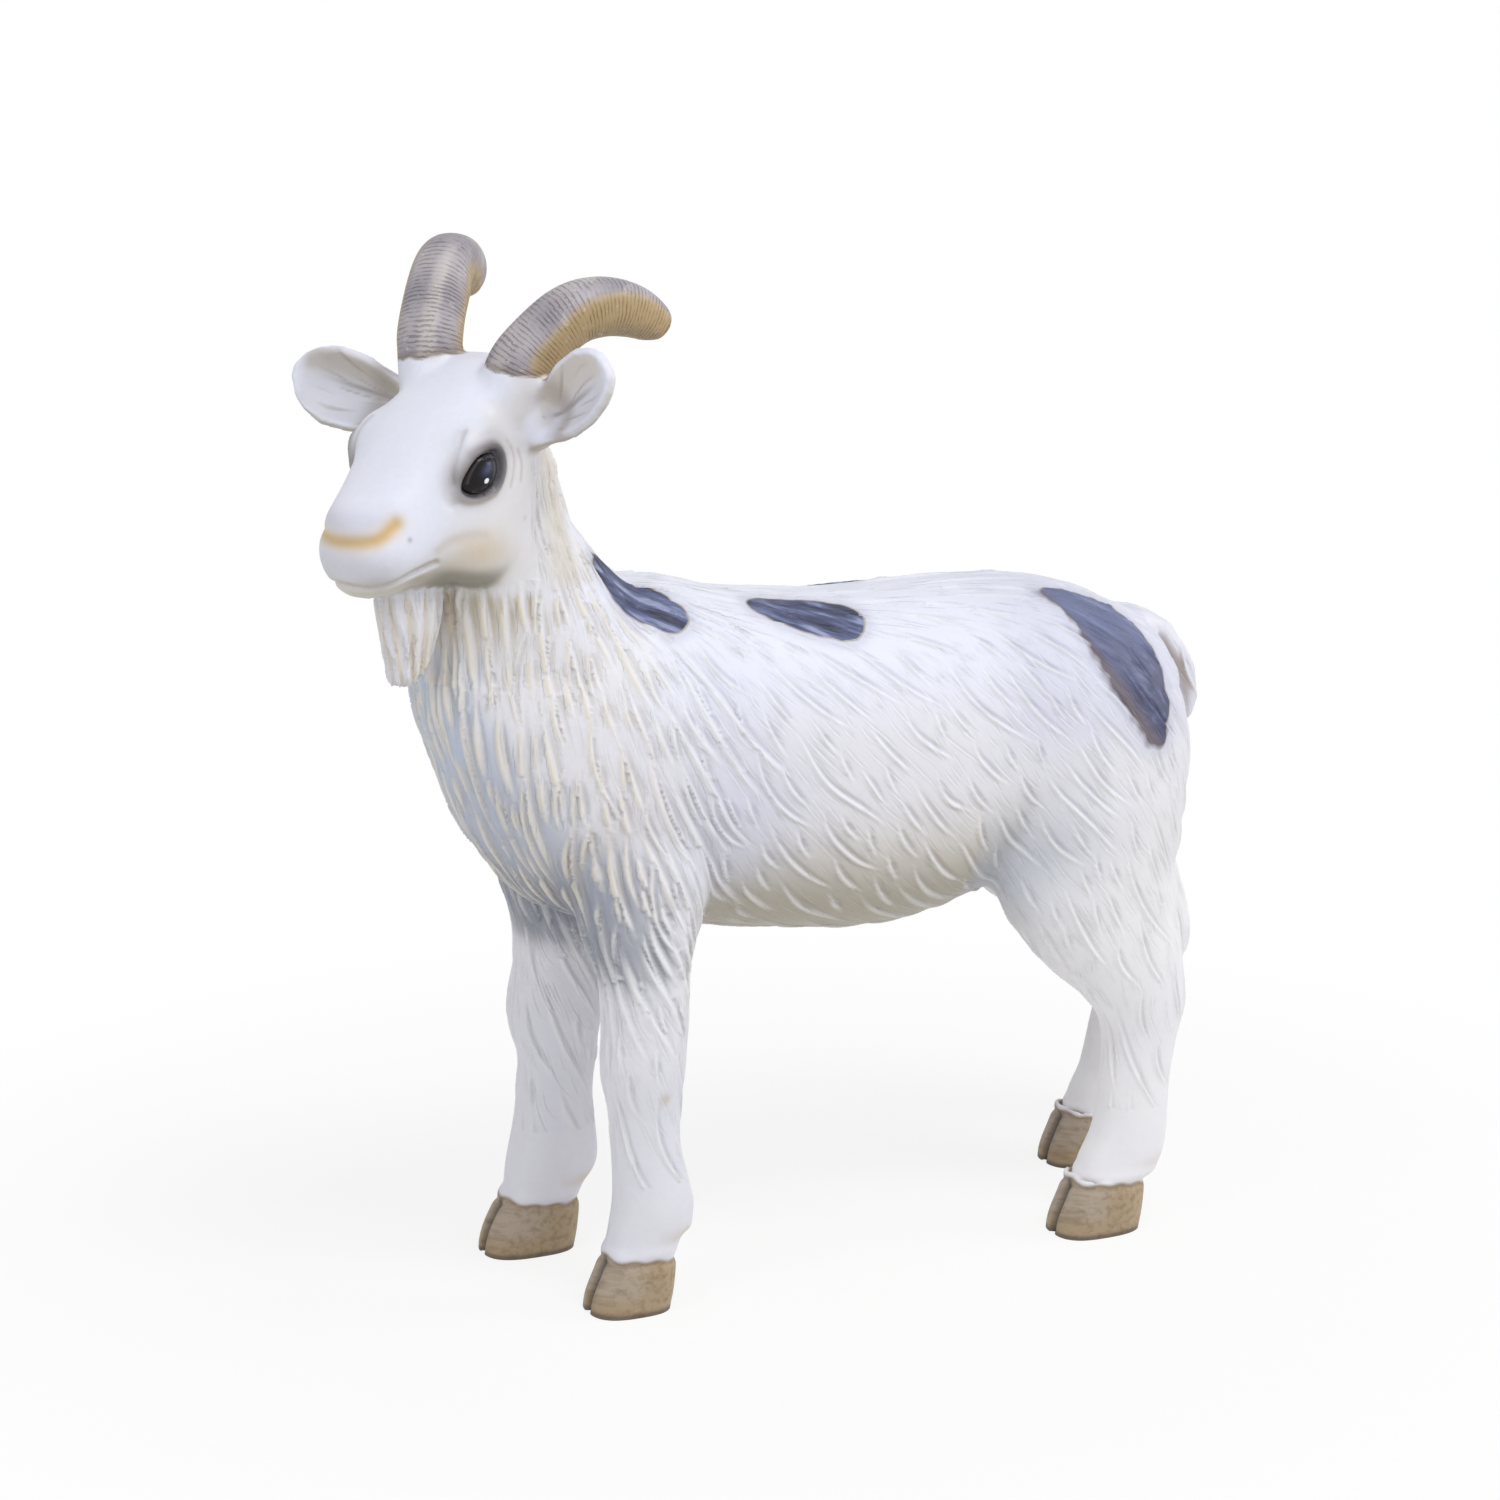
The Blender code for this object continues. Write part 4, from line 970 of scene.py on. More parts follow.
def paint_horns(skin, paint):
    """Grey in front, tan on the sides, light on worn edges and with a painted highlight on the front-most
    face. Returns the mask and the place along the horn.
    """
    normals = skin.head_normals
    mask, ring = np.zeros(skin.count), np.zeros(skin.count)
    count = 80
    shares = np.linspace(0, 1, count)
    for sign in (-1, 1):
        rows = spline(horn_rows(sign), count)
        away, share = skin.along_line(rows[:, :3], 40)
        radius = np.interp(share, shares, rows[:, 3]) * 1.35
        steps = np.linalg.norm(np.diff(rows[:, :3], axis=0), axis=1)
        gone = np.interp(share, shares, np.concatenate([[0], np.cumsum(steps)]))
        place = (share * (count - 1)).astype(int).clip(0, count - 2)
        ahead = rows[place + 1, :3] - rows[place, :3]
        ahead /= np.linalg.norm(ahead, axis=1)[:, None]
        outward = np.cross(ahead, np.array((1.0, 0, 0)))
        twist = math.radians(34) if sign < 0 else 0
        facing = (normals * outward).sum(1) * math.cos(twist) + normals[:, 0] * math.sin(twist)
        l, f, u = skin.local.T
        wobble = 0.5 * np.sin(0.5 * l) + 0.4 * np.sin(0.8 * f + 0.6 * l)
        base = -1 + 0.16 * (l * sign - 30) * -1
        inside = step(radius - away, -1, 1) * step(u + wobble - base, -1.0, 1.0)
        mask = np.maximum(mask, inside)
        ring = np.where(inside > 0, gone, ring)
        paint.coat((176, 152, 112), inside, 0.5)
        paint.coat((160, 140, 114), 0.6 * inside * step(-facing, 0.1, 0.8))
        grey = inside * step(facing, 0.28, 0.62)
        paint.coat((182, 178, 186), 0.92 * grey)
        paint.coat((130, 126, 138), 0.55 * grey * (0.5 + 0.5 * np.sin(0.21 * gone + 1)))
        # light on the worn edge between grey and tan, and a painted highlight on the front-most face
        wear_and_highlight = inside * (bell(facing - 0.34, 0.10) * 0.15 + 0.45 * step(facing, 0.88, 0.98))
        paint.coat((224, 217, 210), wear_and_highlight)
        paint.coat((120, 98, 76), 0.5 * inside * step(-(u + wobble - base), -5, -0.5))
    return mask, ring


def paint_ears(skin, paint):
    """Cuts the veins into the cup of each ear, and tints it, with painted shade on the upper half of the cup
    and on the right ear.
    """
    for sign, lift, *_ in EARS:
        root, axis, front, across = (np.array(v) for v in ear_frame(sign, lift))
        rel = skin.local - root
        normals = skin.head_normals
        a = rel @ axis / (EAR_LENGTH / HEAD_UNIT)
        half = EAR_WIDTH / HEAD_UNIT / 2 * np.interp(a, *EAR_PROFILE)
        b = rel @ across / half
        here = (a > 0.2) & (a < 1.06) & (np.abs(b) < 1.3) & (np.abs(rel @ front) < 22)
        facing = normals @ front
        cup = here * step(facing, 0.25, 0.7) * step(-np.abs(b), -0.92, -0.76) * step(-a, -0.97, -0.88)
        fan = np.arctan2(b * 0.9, a - 0.02)
        wave = np.sin(21 * fan + 2.4 * np.sin(6 * a + sign)) * (0.6 + 0.4 * np.sin(13 * fan + 5 * a + 1))
        veins = step(-wave, 0.35, 0.95) * cup * step(a, 0.22, 0.35) * step(-a, -0.9, -0.6)
        middle = bell(b - 0.05, 0.07) * cup * step(-a, -0.85, -0.5)
        skin.push(-0.45 * veins - 0.7 * middle)
        upward = 1 if across[2] > 0 else -1
        upper = step(b * upward, -0.1, 0.35)
        # painted shade: the upper half of each cup is darker, and the right ear darker than the left
        dim = 20 if sign < 0 else -4
        paint.coat((216 - dim, 209 - dim, 200 - dim), 0.80 * cup * upper)
        paint.coat((222 - dim, 222 - dim, 232 - dim), 0.6 * cup * (1 - upper))
        paint.coat((158, 148, 138), 0.50 * veins)
        paint.coat((150, 140, 136), 0.70 * middle)
        root_ = here * step(a, 0.2, 0.36) * step(-np.abs(b), -1.2, -0.8) * step(-a, -0.5, -0.36)
        paint.coat((168, 158, 150), 0.55 * root_ * step(facing, 0.25, 0.7))
        paint.coat((214, 204, 184), 0.5 * here * step(-facing, 0.0, 0.7) * step(-a, -0.6, -0.3))


def paint_hooves(skin, paint):
    """Horn-coloured hooves, darker in the cleft with painted shade, and darker at the ground. Returns their
    mask.
    """
    x, y, z = skin.places.T
    mask = np.zeros(skin.count)
    for sign, hoof_y, *_ in HOOVES:
        across, back = x - sign * TRACK / 2 / MM, y - hoof_y / MM
        here = (np.abs(across) < 27) & (np.abs(back) < 42)
        rim = HOOF_HEIGHT / MM - 0.6 - 0.09 * back
        rim += 0.7 * np.sin(0.35 * across + sign) + 0.5 * np.sin(0.5 * back)
        inside = here * step(rim - z, -0.5, 0.7)
        mask = np.maximum(mask, inside)
        paint.coat((170, 150, 122), inside, 0.5)
        paint.coat((178, 166, 152), 0.7 * inside * step(-back, -4, 14) * step(z, 6, 16))
        paint.coat((182, 162, 134), 0.6 * inside * step(back, 2, 16))
        # painted shade in the cleft between the toes
        cleft = inside * bell(across, 3.0) * step(-skin.normals[:, 1], -0.1, 0.5) * (back < -4)
        paint.coat((74, 64, 54), 0.85 * cleft)
        paint.coat((96, 88, 78), 0.8 * inside * step(-z, -3.6, -1.6))
        paint.coat((134, 106, 76), 0.65 * here * bell(z - rim, 1.1))
        # painted shade under the dewclaws, where the skin faces down
        shade_under_claws = here * bell(z - 40, 5) * step(-skin.normals[:, 2], 0.0, 0.6) * (back > 4)
        paint.coat((205, 188, 160), 0.55 * shade_under_claws)
    return mask


def paint_tail(skin, paint):
    x, y, z = skin.places.T
    tail_ = (y > 190) & (np.abs(x) < 15) & (z > 258) & (z < 352)
    paint.coat((236, 236, 242), 0.8 * tail_)
    paint.coat((172, 146, 108), 0.7 * tail_ * step(-skin.normals[:, 1], -0.1, 0.5) * step(np.abs(x), 6, 11))
    return tail_


PATCH_REACH = 9.0   # millimetres on each side of a patch's edge that its mask tells apart


def mark_patches(skin, paint, tail_):
    """How far inside a patch each vertex is, up to the reach, and where the patch's edge is feathered."""
    edge, feather = np.full(skin.count, -PATCH_REACH), np.zeros(skin.count)
    _, y, z = skin.places.T
    for side, rows, (back, up), wave, seed, outlined in PATCHES:
        size = 1 if side > 0 else RIGHT_PATCH_SHARE
        placed = [(side * x, y + back, z + up, size * r) for x, y, z, r in rows]
        inside = patch(skin, placed, wave, seed)
        inside[(skin.points[:, 0] * side < MM) | tail_] = -PATCH_REACH
        paint.coat((196, 198, 216), 0.50 * bell(inside + 1.5, 4.5) * (inside > -12))
        ahead = 0.0 if outlined else step(160 - 0.65 * (z - 282) - y, -10, 4)
        feather = np.where(inside > edge, ahead, feather)
        edge = np.maximum(edge, np.clip(inside, -PATCH_REACH, PATCH_REACH))
    return edge, feather


def colour_skin(skin, cut, strands, lines):
    l, f, u = skin.local.T
    head_ = np.maximum(step(u, -118, -106) * step(f, -32, -20), step(u, -72, -58))
    paint = Paint(skin.count, (236, 235, 240))
    throat = paint_coat(skin, paint, cut, head_)
    paint_head(skin, paint, head_, lines)
    beard_ = step(-u, 104, 112) * step(u, -164, -160) * (f > 26) * (f < 78) * (np.abs(l) < 19)
    paint.coat((228, 228, 234), 0.8 * beard_ * step(f, 44, 60))
    # painted shade in the beard's furrows and painted highlights on its strands
    paint.coat((222, 208, 180), 0.7 * beard_ * np.clip(-strands, 0, 1))
    paint.coat((240, 236, 228), 0.6 * beard_ * np.clip(strands, 0, 1) * step(-f, -56, -48))
    tail_ = paint_tail(skin, paint)
    patches, feather = mark_patches(skin, paint, tail_)
    paint_ears(skin, paint)
    horns, ring = paint_horns(skin, paint)
    hooves = paint_hooves(skin, paint)
    return paint, np.stack([horns, patches, hooves], 1), ring, throat, feather


# Where the skin is cut into pieces, each under the limit on triangles: height, and places along the body
LEGS_BELOW = 0.190
NECK_BEFORE = -0.090
RUMP_BEHIND = 0.075


def splitting(skin):
    """A number for each face, by the region that it lies in."""
    mesh = skin.mesh
    centres = np.empty(len(mesh.polygons) * 3)
    mesh.polygons.foreach_get("center", centres)
    centres = centres.reshape(-1, 3)
    _, f, u = skin.on_head(centres).T
    y, z = centres[:, 1], centres[:, 2]
    legs = np.where(y < 0, 4, 5)
    region = np.where(z < LEGS_BELOW, legs, np.where(y < NECK_BEFORE, 1, np.where(y < RUMP_BEHIND, 2, 3)))
    region[((u > -112) & (f > -24)) | (u > -60)] = 0
    return region


REGIONS = ("head_and_horns", "neck_and_breast", "back_and_belly", "rump_and_tail", "fore_legs", "hind_legs")


def write_attribute(mesh, name, kind, values):
    made = mesh.attributes.new(name, kind, "POINT")
    field = {"FLOAT": "value", "FLOAT_VECTOR": "vector", "FLOAT_COLOR": "color"}[kind]
    made.data.foreach_set(field, np.ascontiguousarray(values, np.float32).ravel())


def cut_up(thing, skin, columns):
    """Makes one object of each region, with the normals of the whole skin, so that no joint shows."""
    mesh = thing.data
    corners = np.empty(len(mesh.loops), np.int32)
    mesh.loops.foreach_get("vertex_index", corners)
    starts = np.empty(len(mesh.polygons), np.int32)
    mesh.polygons.foreach_get("loop_start", starts)
    totals = np.empty(len(mesh.polygons), np.int32)
    mesh.polygons.foreach_get("loop_total", totals)
    region = splitting(skin)
    made = []
    for number, name in enumerate(REGIONS):
        chosen = np.where(region == number)[0]
        faces = [corners[s:s + n] for s, n in zip(starts[chosen], totals[chosen])]
        used = np.unique(np.concatenate(faces))
        place = np.full(skin.count, -1, np.int64)
        place[used] = np.arange(len(used))
        piece = bpy.data.meshes.new(name)
        piece.from_pydata(skin.points[used], [], [place[f] for f in faces])
        piece.update()
        piece.shade_smooth()
        piece.normals_split_custom_set_from_vertices(skin.normals[used])
        for column, (kind, values) in columns.items():
            write_attribute(piece, column, kind, values[used])
        made.append(add_object(name, piece))
    bpy.data.objects.remove(thing, do_unlink=True)
    return made


class Value:
    """A value in a material's nodes, which can be added, multiplied and so on."""

    def __init__(self, nodes, socket):
        self.nodes = nodes
        self.socket = socket

    def __add__(self, other):
        return self.nodes.maths("ADD", self, other)

    def __sub__(self, other):
        return self.nodes.maths("SUBTRACT", self, other)

    def __rsub__(self, other):
        return self.nodes.maths("SUBTRACT", other, self)

    def __mul__(self, other):
        return self.nodes.maths("MULTIPLY", self, other)

    def __truediv__(self, other):
        return self.nodes.maths("DIVIDE", self, other)


class Nodes:
    """Short names for making the nodes of a material or a world."""

    def __init__(self, holder):
        holder.use_nodes = True
        self.tree = holder.node_tree
        self.shader = self.tree.nodes.get("Principled BSDF")

    def new(self, kind, **values):
        node = self.tree.nodes.new("ShaderNode" + kind)
        for key, value in values.items():
            setattr(node, key, value)
        return node

    def join(self, a, b):
        self.tree.links.new(getattr(a, "socket", a), b)

    def fill(self, socket, value):
        """Gives a socket a number, a colour or what another node makes."""
        if isinstance(value, (int, float)):
            socket.default_value = value
        elif isinstance(value, tuple):
            socket.default_value = (*value, 1)
        else:
            self.join(value, socket)

    def maths(self, operation, *values):
        node = self.new("Math", operation=operation)
        for socket, value in zip(node.inputs, values):
            self.fill(socket, value)
        return Value(self, node.outputs[0])

    def attribute(self, name, output="Fac"):
        return Value(self, self.new("Attribute", attribute_name=name).outputs[output])

    def split(self, vector):
        node = self.new("SeparateXYZ")
        self.join(vector, node.inputs[0])
        return [Value(self, socket) for socket in node.outputs]

    def noise(self, scale, detail=3, rough=0.5, vector=None):
        node = self.new("TexNoise")
        node.inputs["Scale"].default_value = scale
        node.inputs["Detail"].default_value = detail
        node.inputs["Roughness"].default_value = rough
        self.join(self.place if vector is None else vector, node.inputs["Vector"])
        return Value(self, node.outputs["Fac"])

    def band(self, value, middle, width):
        """1 at the middle of a band, fading to 0 at its sides."""
        away = self.maths("ABSOLUTE", (value - middle) / width)
        return self.maths("MAXIMUM", 0.0, 1.0 - away)

    def bell(self, value, width):
        share = value / width
        return self.maths("EXPONENT", share * share * -1.0)

    def seen(self):
        """1 for rays that come straight from the camera, or by a mirror or glass."""
        path = self.new("LightPath")
        rays = self.maths("MAXIMUM", path.outputs["Is Glossy Ray"], path.outputs["Is Transmission Ray"])
        return self.maths("MAXIMUM", path.outputs["Is Camera Ray"], rays)

    def streaks(self, way, length):
        """Coordinates in which a noise is drawn out along `way`."""
        node = self.new("Mapping", vector_type="TEXTURE")
        node.inputs["Rotation"].default_value = Vector(way).to_track_quat("Z", "Y").to_euler()
        node.inputs["Scale"].default_value = (1, 1, length)
        self.join(self.place, node.inputs["Vector"])
        return node.outputs[0]

    def tool_mark(self, name, depth, lip):
        """Height in millimetres across a carved stroke, as groove() makes it, from the attribute `name`."""
        offset, strength, _ = self.split(self.attribute(name, "Vector"))
        ridge = self.bell(offset - RIDGE_AT, RIDGE_WIDTH)
        furrow = self.bell(offset - FURROW_AT, FURROW_WIDTH)
        return (ridge * lip - furrow * depth) * strength

    @property
    def place(self):
        return self.new("TexCoord").outputs["Object"]

    def mix(self, share, a, b, kind="MIX"):
        node = self.new("Mix", data_type="RGBA", blend_type=kind)
        for number, value in ((0, share), (6, a), (7, b)):
            self.fill(node.inputs[number], value)
        return node.outputs[2]

    def ramp(self, value, *stops):
        """The value, moved from the first two numbers to the last two, and kept between those."""
        node = self.new("MapRange")
        self.join(value, node.inputs["Value"])
        for socket, number in zip(("From Min", "From Max", "To Min", "To Max"), stops):
            node.inputs[socket].default_value = number
        return Value(self, node.outputs["Result"])

    def scale(self, value, *stops):
        """The colours of stops (place, colour), from dark to light, for a value from 0 to 1."""
        node = self.new("ValToRGB")
        made = node.color_ramp.elements
        for _ in stops[2:]:
            made.new(0.5)
        for stop, (place, colour) in zip(made, stops):
            stop.position = place
            stop.color = (*linear(colour), 1)
        self.join(value, node.inputs[0])
        return node.outputs[0]


def material(name):
    made = bpy.data.materials.new(name)
    return made, Nodes(made)


def dark_patches(n, edge, streak):
    """Blue and black brush strokes: their colour, how far they cover the coat, and their outline."""
    feather = n.attribute("feather")
    inside = edge + (streak - 0.5) * (feather * 9.0 + 1.2)
    cover = n.ramp(inside / (feather * 1.6 + 0.45), -1.0, 1.0, 0.0, 1.0)
    brushed = n.noise(170, 3, 0.5, n.streaks((0.35, 0.85, -0.45), 9))
    strokes = n.scale(brushed, (0.36, (44, 46, 70)), (0.49, (74, 80, 114)),
                      (0.59, (100, 108, 144)), (0.66, (150, 158, 192)))
    # the rump's patch is more even, lighter above and brown at its front edge
    _, y, z = n.split(n.place)
    low, high = tuple(linear((76, 78, 106))), tuple(linear((118, 126, 162)))
    even = n.mix(n.ramp(z, 0.300, 0.345, 0.0, 1.0), low, high)
    colour = n.mix(n.ramp(y, 0.07, 0.09, 0.0, 0.72), strokes, even)
    brown = n.maths("MINIMUM", 0.9, n.ramp(inside, 0.0, 16.0, 1.8, 0.0) * feather)
    colour = n.mix(brown, colour, tuple(linear((110, 100, 106))))
    return colour, cover, n.band(edge, -0.3, 0.95) * (1.0 - feather)


def resin():
    """Satin hand-painted resin: the paint attribute, mottled, with the fine tool marks in the bump."""
    made, n = material("painted resin")
    horns, edge, hooves = n.split(n.attribute("masks", "Vector"))
    throat = n.attribute("throat")
    broad, fine = n.noise(22, 4, 0.55), n.noise(240, 4, 0.6)
    flank = n.streaks((0, 0.62, -0.78), 10)
    upright = n.streaks((0, 0, 1), 10)
    streak = n.noise(150, 4, 0.55, flank)
    strands = throat * n.noise(330, 3, 0.6, upright) + (1.0 - throat) * n.noise(330, 3, 0.6, flank)
    paint = n.attribute("paint", "Color")
    colour = n.mix(n.ramp(broad, 0.35, 0.65, 0.0, 0.5), paint, (0.955, 0.955, 0.985), "MULTIPLY")
    colour = n.mix(n.ramp(fine, 0.35, 0.7, 0.0, 0.4), colour, (0.95, 0.935, 0.91), "MULTIPLY")
    navy, patches, outline = dark_patches(n, edge, streak)
    colour = n.mix(patches, colour, navy)
    colour = n.mix(outline * 0.75, colour, tuple(linear((178, 166, 152))))
    # horns: grooves all along them, broken up by noise, and light worn spots, which also stand for glints as
    # painted highlights
    turn = n.attribute("ring") * HORN_GROOVES + n.noise(90, 3, 0.6) * 7.0
    broken = n.ramp(n.noise(130, 3, 0.6), 0.38, 0.58, 0.15, 1.0)
    grooves = n.ramp(n.maths("SINE", turn), 0.25, 0.95, 0.0, 1.0) * broken
    colour = n.mix(horns * grooves * 0.7, colour, (0.46, 0.41, 0.37), "MULTIPLY")
    wear_and_highlight = n.ramp(n.noise(170, 4, 0.7), 0.60, 0.74, 0.0, 0.55)
    colour = n.mix(horns * wear_and_highlight, colour, (0.78, 0.73, 0.68))
    # hooves: level streaks
    grain = n.noise(300, 4, 0.6, n.streaks((1, 0.6, 0.1), 8))
    colour = n.mix(hooves * n.ramp(grain, 0.45, 0.70, 0.0, 0.75), colour, (0.62, 0.54, 0.46), "MULTIPLY")
    n.join(colour, n.shader.inputs["Base Color"])
    n.join(n.attribute("rough") + n.ramp(fine, 0.3, 0.7, -0.04, 0.08), n.shader.inputs["Roughness"])
    n.shader.inputs["Specular IOR Level"].default_value = 0.4
    # heights in millimetres
    bare = 1.0 - n.maths("MINIMUM", 1.0, horns + hooves)
    height = n.ramp(strands, 0.30, 0.48, 0.0, 1.0) * n.attribute("hairy") * 0.16
    height = height + n.tool_mark("bold_hair", 0.35, 0.30) + n.tool_mark("fine_hair", 0.34, 0.26)
    height = height + fine * 0.03 - outline * 0.5 + patches * streak * 0.8
    height = height - horns * grooves * 0.45 + hooves * grain * 0.35 + bare * n.noise(60, 3, 0.5) * 0.25
    bump = n.new("Bump")
    bump.inputs["Strength"].default_value = 0.8
    bump.inputs["Distance"].default_value = MM
    n.join(height, bump.inputs["Height"])
    n.join(bump.outputs["Normal"], n.shader.inputs["Normal"])
    return made


def eye(skin, tree, sign):
    """A glossy lens that fills the almond between the lids."""
    rings, points = 48, 120
    lean = math.radians(EYE_LEAN)
    flat = []
    for i in range(rings + 1):
        r = i / rings
        for j in range(points):
            a = 2 * math.pi * j / points
            long = EYE_RADII[0] * r * math.cos(a)
            high = float(almond_height(long)) * r * math.sin(a)
            forward = -long * math.cos(lean) + high * math.sin(lean)
            up = long * math.sin(lean) + high * math.cos(lean)
            flat.append((r, long, high, EYE_AT[0] + forward, EYE_AT[1] + up))
            if i == 0:
                break
    flat = np.array(flat)
    # the skin under the lens, which a smooth surface is fitted to
    hits = []
    for r, long, high, f, u in flat:
        if r > 0.82:
            continue
        start = head(sign * 70, f, u)
        hit = tree.ray_cast(start, -LEFT * sign, 0.06)
        if hit[0] is not None:
            hits.append((long, high, skin.on_head(np.array([hit[0]]))[0][0] * sign))
    hits = np.array(hits)

    def terms(a, b):
        return np.stack([np.ones_like(a), a, b, a * a, a * b, b * b], 1)

    fit = np.linalg.lstsq(terms(hits[:, 0], hits[:, 1]), hits[:, 2], rcond=None)[0]
    side = terms(flat[:, 1], flat[:, 2]) @ fit + 0.7 * (1 - flat[:, 0] ** 2) - 1.2 * flat[:, 0] ** 6
    bm = bmesh.new()
    verts = [bm.verts.new(head(sign * s, f, u)) for s, (r, long, high, f, u) in zip(side, flat)]

    def ring(i):
        return [verts[0]] * points if i == 0 else verts[1 + (i - 1) * points:1 + i * points]

    for i in range(rings):
        a, b = ring(i), ring(i + 1)
        for j in range(points):
            k = (j + 1) % points
            corners = (a[j], b[j], b[k], a[k]) if i else (a[0], b[j], b[k])
            bm.faces.new(corners)
    made = new_object("eye_left" if sign > 0 else "eye_right", bm)
    made.data.shade_smooth()
    r, long, high = flat[:, 0], flat[:, 1], flat[:, 2]
    paint = Paint(len(flat), (17, 16, 19))
    paint.coat((40, 37, 40), 0.5 * bell(long - 8, 5))
    # painted reflection: a blue-grey sheen on the lens above its middle
    paint.coat((84, 86, 118), 0.95 * bell(np.hypot((long - 1.5) / 1.5, high - 2.6), 2.4))
    paint.coat((92, 84, 84), 0.6 * bell(r - 0.86, 0.045) * (np.abs(high) > 2.5))
    paint.coat((26, 22, 22), step(r, 0.90, 0.97))
    paint.coat((252, 252, 252), step(-np.hypot(long + 2.5, high + 1.9), -1.6, -1.15))
    write_attribute(made.data, "paint", "FLOAT_COLOR", np.hstack([paint.colour, np.ones((len(flat), 1))]))
    return made


def glass():
    made, n = material("glossy eye paint")
    speck = n.ramp(n.noise(900, 2, 0.5), 0.4, 0.6, 0.0, 0.15)
    colour = n.mix(speck, n.attribute("paint", "Color"), (0.5, 0.5, 0.55), "MULTIPLY")
    n.join(colour, n.shader.inputs["Base Color"])
    n.shader.inputs["Roughness"].default_value = 0.18
    n.shader.inputs["Specular IOR Level"].default_value = 0.22
    return made


def carve_body(skin):
    """Cuts the face, hooves, beard and hair. Returns what the paint and the bump need."""
    lines = carve_face(skin)
    carve_hooves(skin)
    strands = comb_beard(skin)
    tree = surface(skin)
    lock, fur = locks(skin), coat(skin)
    fur = fur * (1 - lock)
    hairy = fur + lock
    bold = hair_strokes(skin, tree, 0.9 * lock, 0.0074, 0.0021, (0.045, 0.110), (-0.15, 0.3), 7)
    bold += hair_strokes(skin, tree, fur, 0.0082, 0.0014, (0.026, 0.080), (0.3, 1.3), 11)
    fine = hair_strokes(skin, tree, np.minimum(1, 1.2 * hairy), 0.0034, 0.0007, (0.012, 0.045), (0.0, 0.9), 5)
    bold_hair = comb(skin, bold, hairy > 0)
    fine_hair = comb(skin, fine, hairy > 0)
    cut = groove(*bold_hair, 1.05, 1.15)
    skin.push(cut)
    cut = cut + 0.5 * groove(*fine_hair, 0.6, 0.5)
    return lines, strands, cut, bold_hair, fine_hair


def surface(skin):
    faces = [tuple(p.vertices) for p in skin.mesh.polygons]
    return BVHTree.FromPolygons([tuple(p) for p in skin.points], faces)


def dress():
    figure = goat()
    skin = Skin(figure)
    lines, strands, cut, bold_hair, fine_hair = carve_body(skin)
    paint, masks, ring, throat, feather = colour_skin(skin, cut, strands, lines)
    tree = surface(skin)
    eyes = [eye(skin, tree, sign) for sign in (1, -1)]
    hairy = (1 - stands_on_head(skin)) * step(skin.points[:, 2], 0.08, 0.16)
    flat = np.zeros(skin.count)
    columns = {
        "paint": ("FLOAT_COLOR", np.hstack([paint.colour, np.ones((skin.count, 1))])),
        "rough": ("FLOAT", paint.rough),
        "masks": ("FLOAT_VECTOR", masks),
        "ring": ("FLOAT", ring),
        "throat": ("FLOAT", throat),
        "hairy": ("FLOAT", hairy),
        "feather": ("FLOAT", feather),
        "bold_hair": ("FLOAT_VECTOR", np.stack([*bold_hair, flat], 1)),
        "fine_hair": ("FLOAT_VECTOR", np.stack([*fine_hair, flat], 1)),
    }
    pieces = cut_up(figure, skin, columns)
    print("triangles", [sum(len(p.vertices) - 2 for p in piece.data.polygons) for piece in pieces])
    middle = (skin.points.min(0) + skin.points.max(0)) / 2
    shift = Vector((-middle[0], -middle[1], 0))
    painted, glassy = resin(), glass()
    for piece in pieces + eyes:
        piece.data.transform(Matrix.Translation(shift))
        piece.data.materials.append(glassy if piece in eyes else painted)
        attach(piece, "root")
    for piece in pieces:
        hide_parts("goat")
    return shift


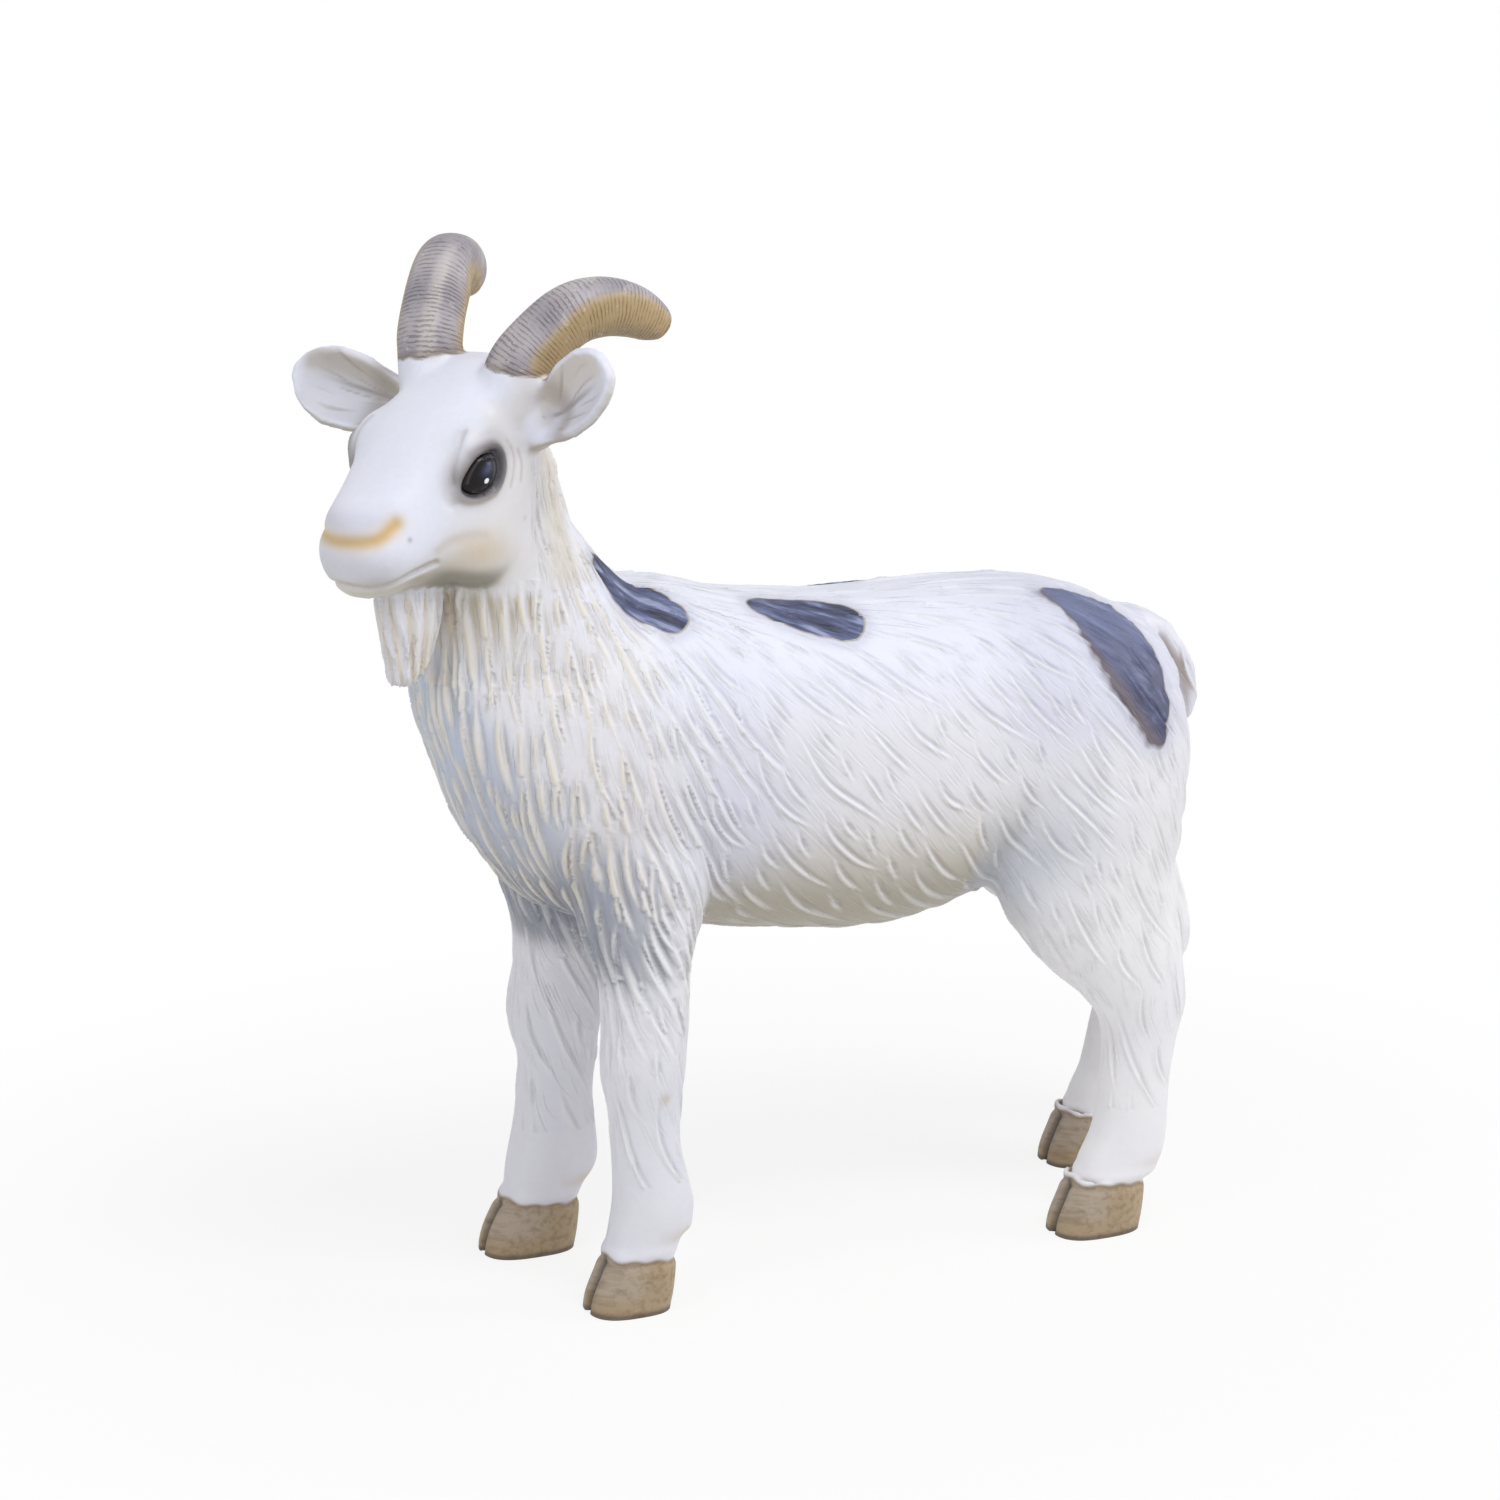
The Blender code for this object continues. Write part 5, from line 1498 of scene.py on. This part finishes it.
def add_floor():
    """A white floor that keeps the shadow near the figure and is pure white further out."""
    corners = [(x * FLOOR_HALF, y * FLOOR_HALF, 0) for x, y in ((-1, -1), (1, -1), (1, 1), (-1, 1))]
    floor = bpy.data.meshes.new("floor")
    floor.from_pydata(corners, [], [(0, 1, 2, 3)])
    ground = add_object("floor", floor)
    made, n = material("pale floor")
    n.shader.inputs["Base Color"].default_value = (0.92, 0.92, 0.92, 1)
    n.shader.inputs["Roughness"].default_value = 0.9
    n.shader.inputs["Specular IOR Level"].default_value = 0.0
    white = n.new("Emission")
    white.inputs["Color"].default_value = (1, 1, 1, 1)
    away = n.new("VectorMath", operation="LENGTH")
    n.join(n.place, away.inputs[0])
    share = n.ramp(away.outputs["Value"], *SHADOW_FADE, 0.82, 1.0) * n.seen()
    blend = n.new("MixShader")
    n.join(share, blend.inputs[0])
    n.join(n.shader.outputs[0], blend.inputs[1])
    n.join(white.outputs[0], blend.inputs[2])
    n.join(blend.outputs[0], n.tree.nodes["Material Output"].inputs["Surface"])
    floor.materials.append(made)


def aim(thing, at, facing):
    """Puts a lamp or camera at a place and turns it along `facing`."""
    thing.location = at
    thing.rotation_euler = facing.to_track_quat("-Z", "Y").to_euler()


def light_up():
    """A white surround, dimmer as a light than as it is seen, and three soft lamps."""
    add_floor()
    world = bpy.data.worlds.new("studio")
    bpy.context.scene.world = world
    n = Nodes(world)
    sky = n.tree.nodes["Background"]
    sky.inputs["Color"].default_value = (1, 1, 1, 1)
    n.join(n.ramp(n.seen(), 0, 1, 0.42, 1.0), sky.inputs["Strength"])
    for name, at, size, energy in LAMPS:
        lamp = bpy.data.lights.new(name, "AREA")
        lamp.shape = "DISK"
        lamp.size = size
        lamp.energy = energy
        aim(add_object(name, lamp), at, LAMPS_AIM - Vector(at))


def camera(shift):
    azimuth, elevation = math.radians(CAMERA_AZIMUTH), math.radians(CAMERA_ELEVATION)
    level = math.cos(elevation)
    back = Vector((math.sin(azimuth) * level, -math.cos(azimuth) * level, math.sin(elevation)))
    lens = bpy.data.cameras.new("camera")
    lens.sensor_width = 36
    lens.lens = CAMERA_DISTANCE / (PIXEL * PICTURE_WIDTH) * lens.sensor_width
    at = CAMERA_AIM + shift + back * CAMERA_DISTANCE
    bpy.context.scene.camera = add_object("camera", lens)
    aim(bpy.context.scene.camera, at, -back)


def main():
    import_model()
    bpy.context.scene.view_settings.view_transform = "Standard"
    shift = dress()
    light_up()
    camera(shift)


main()
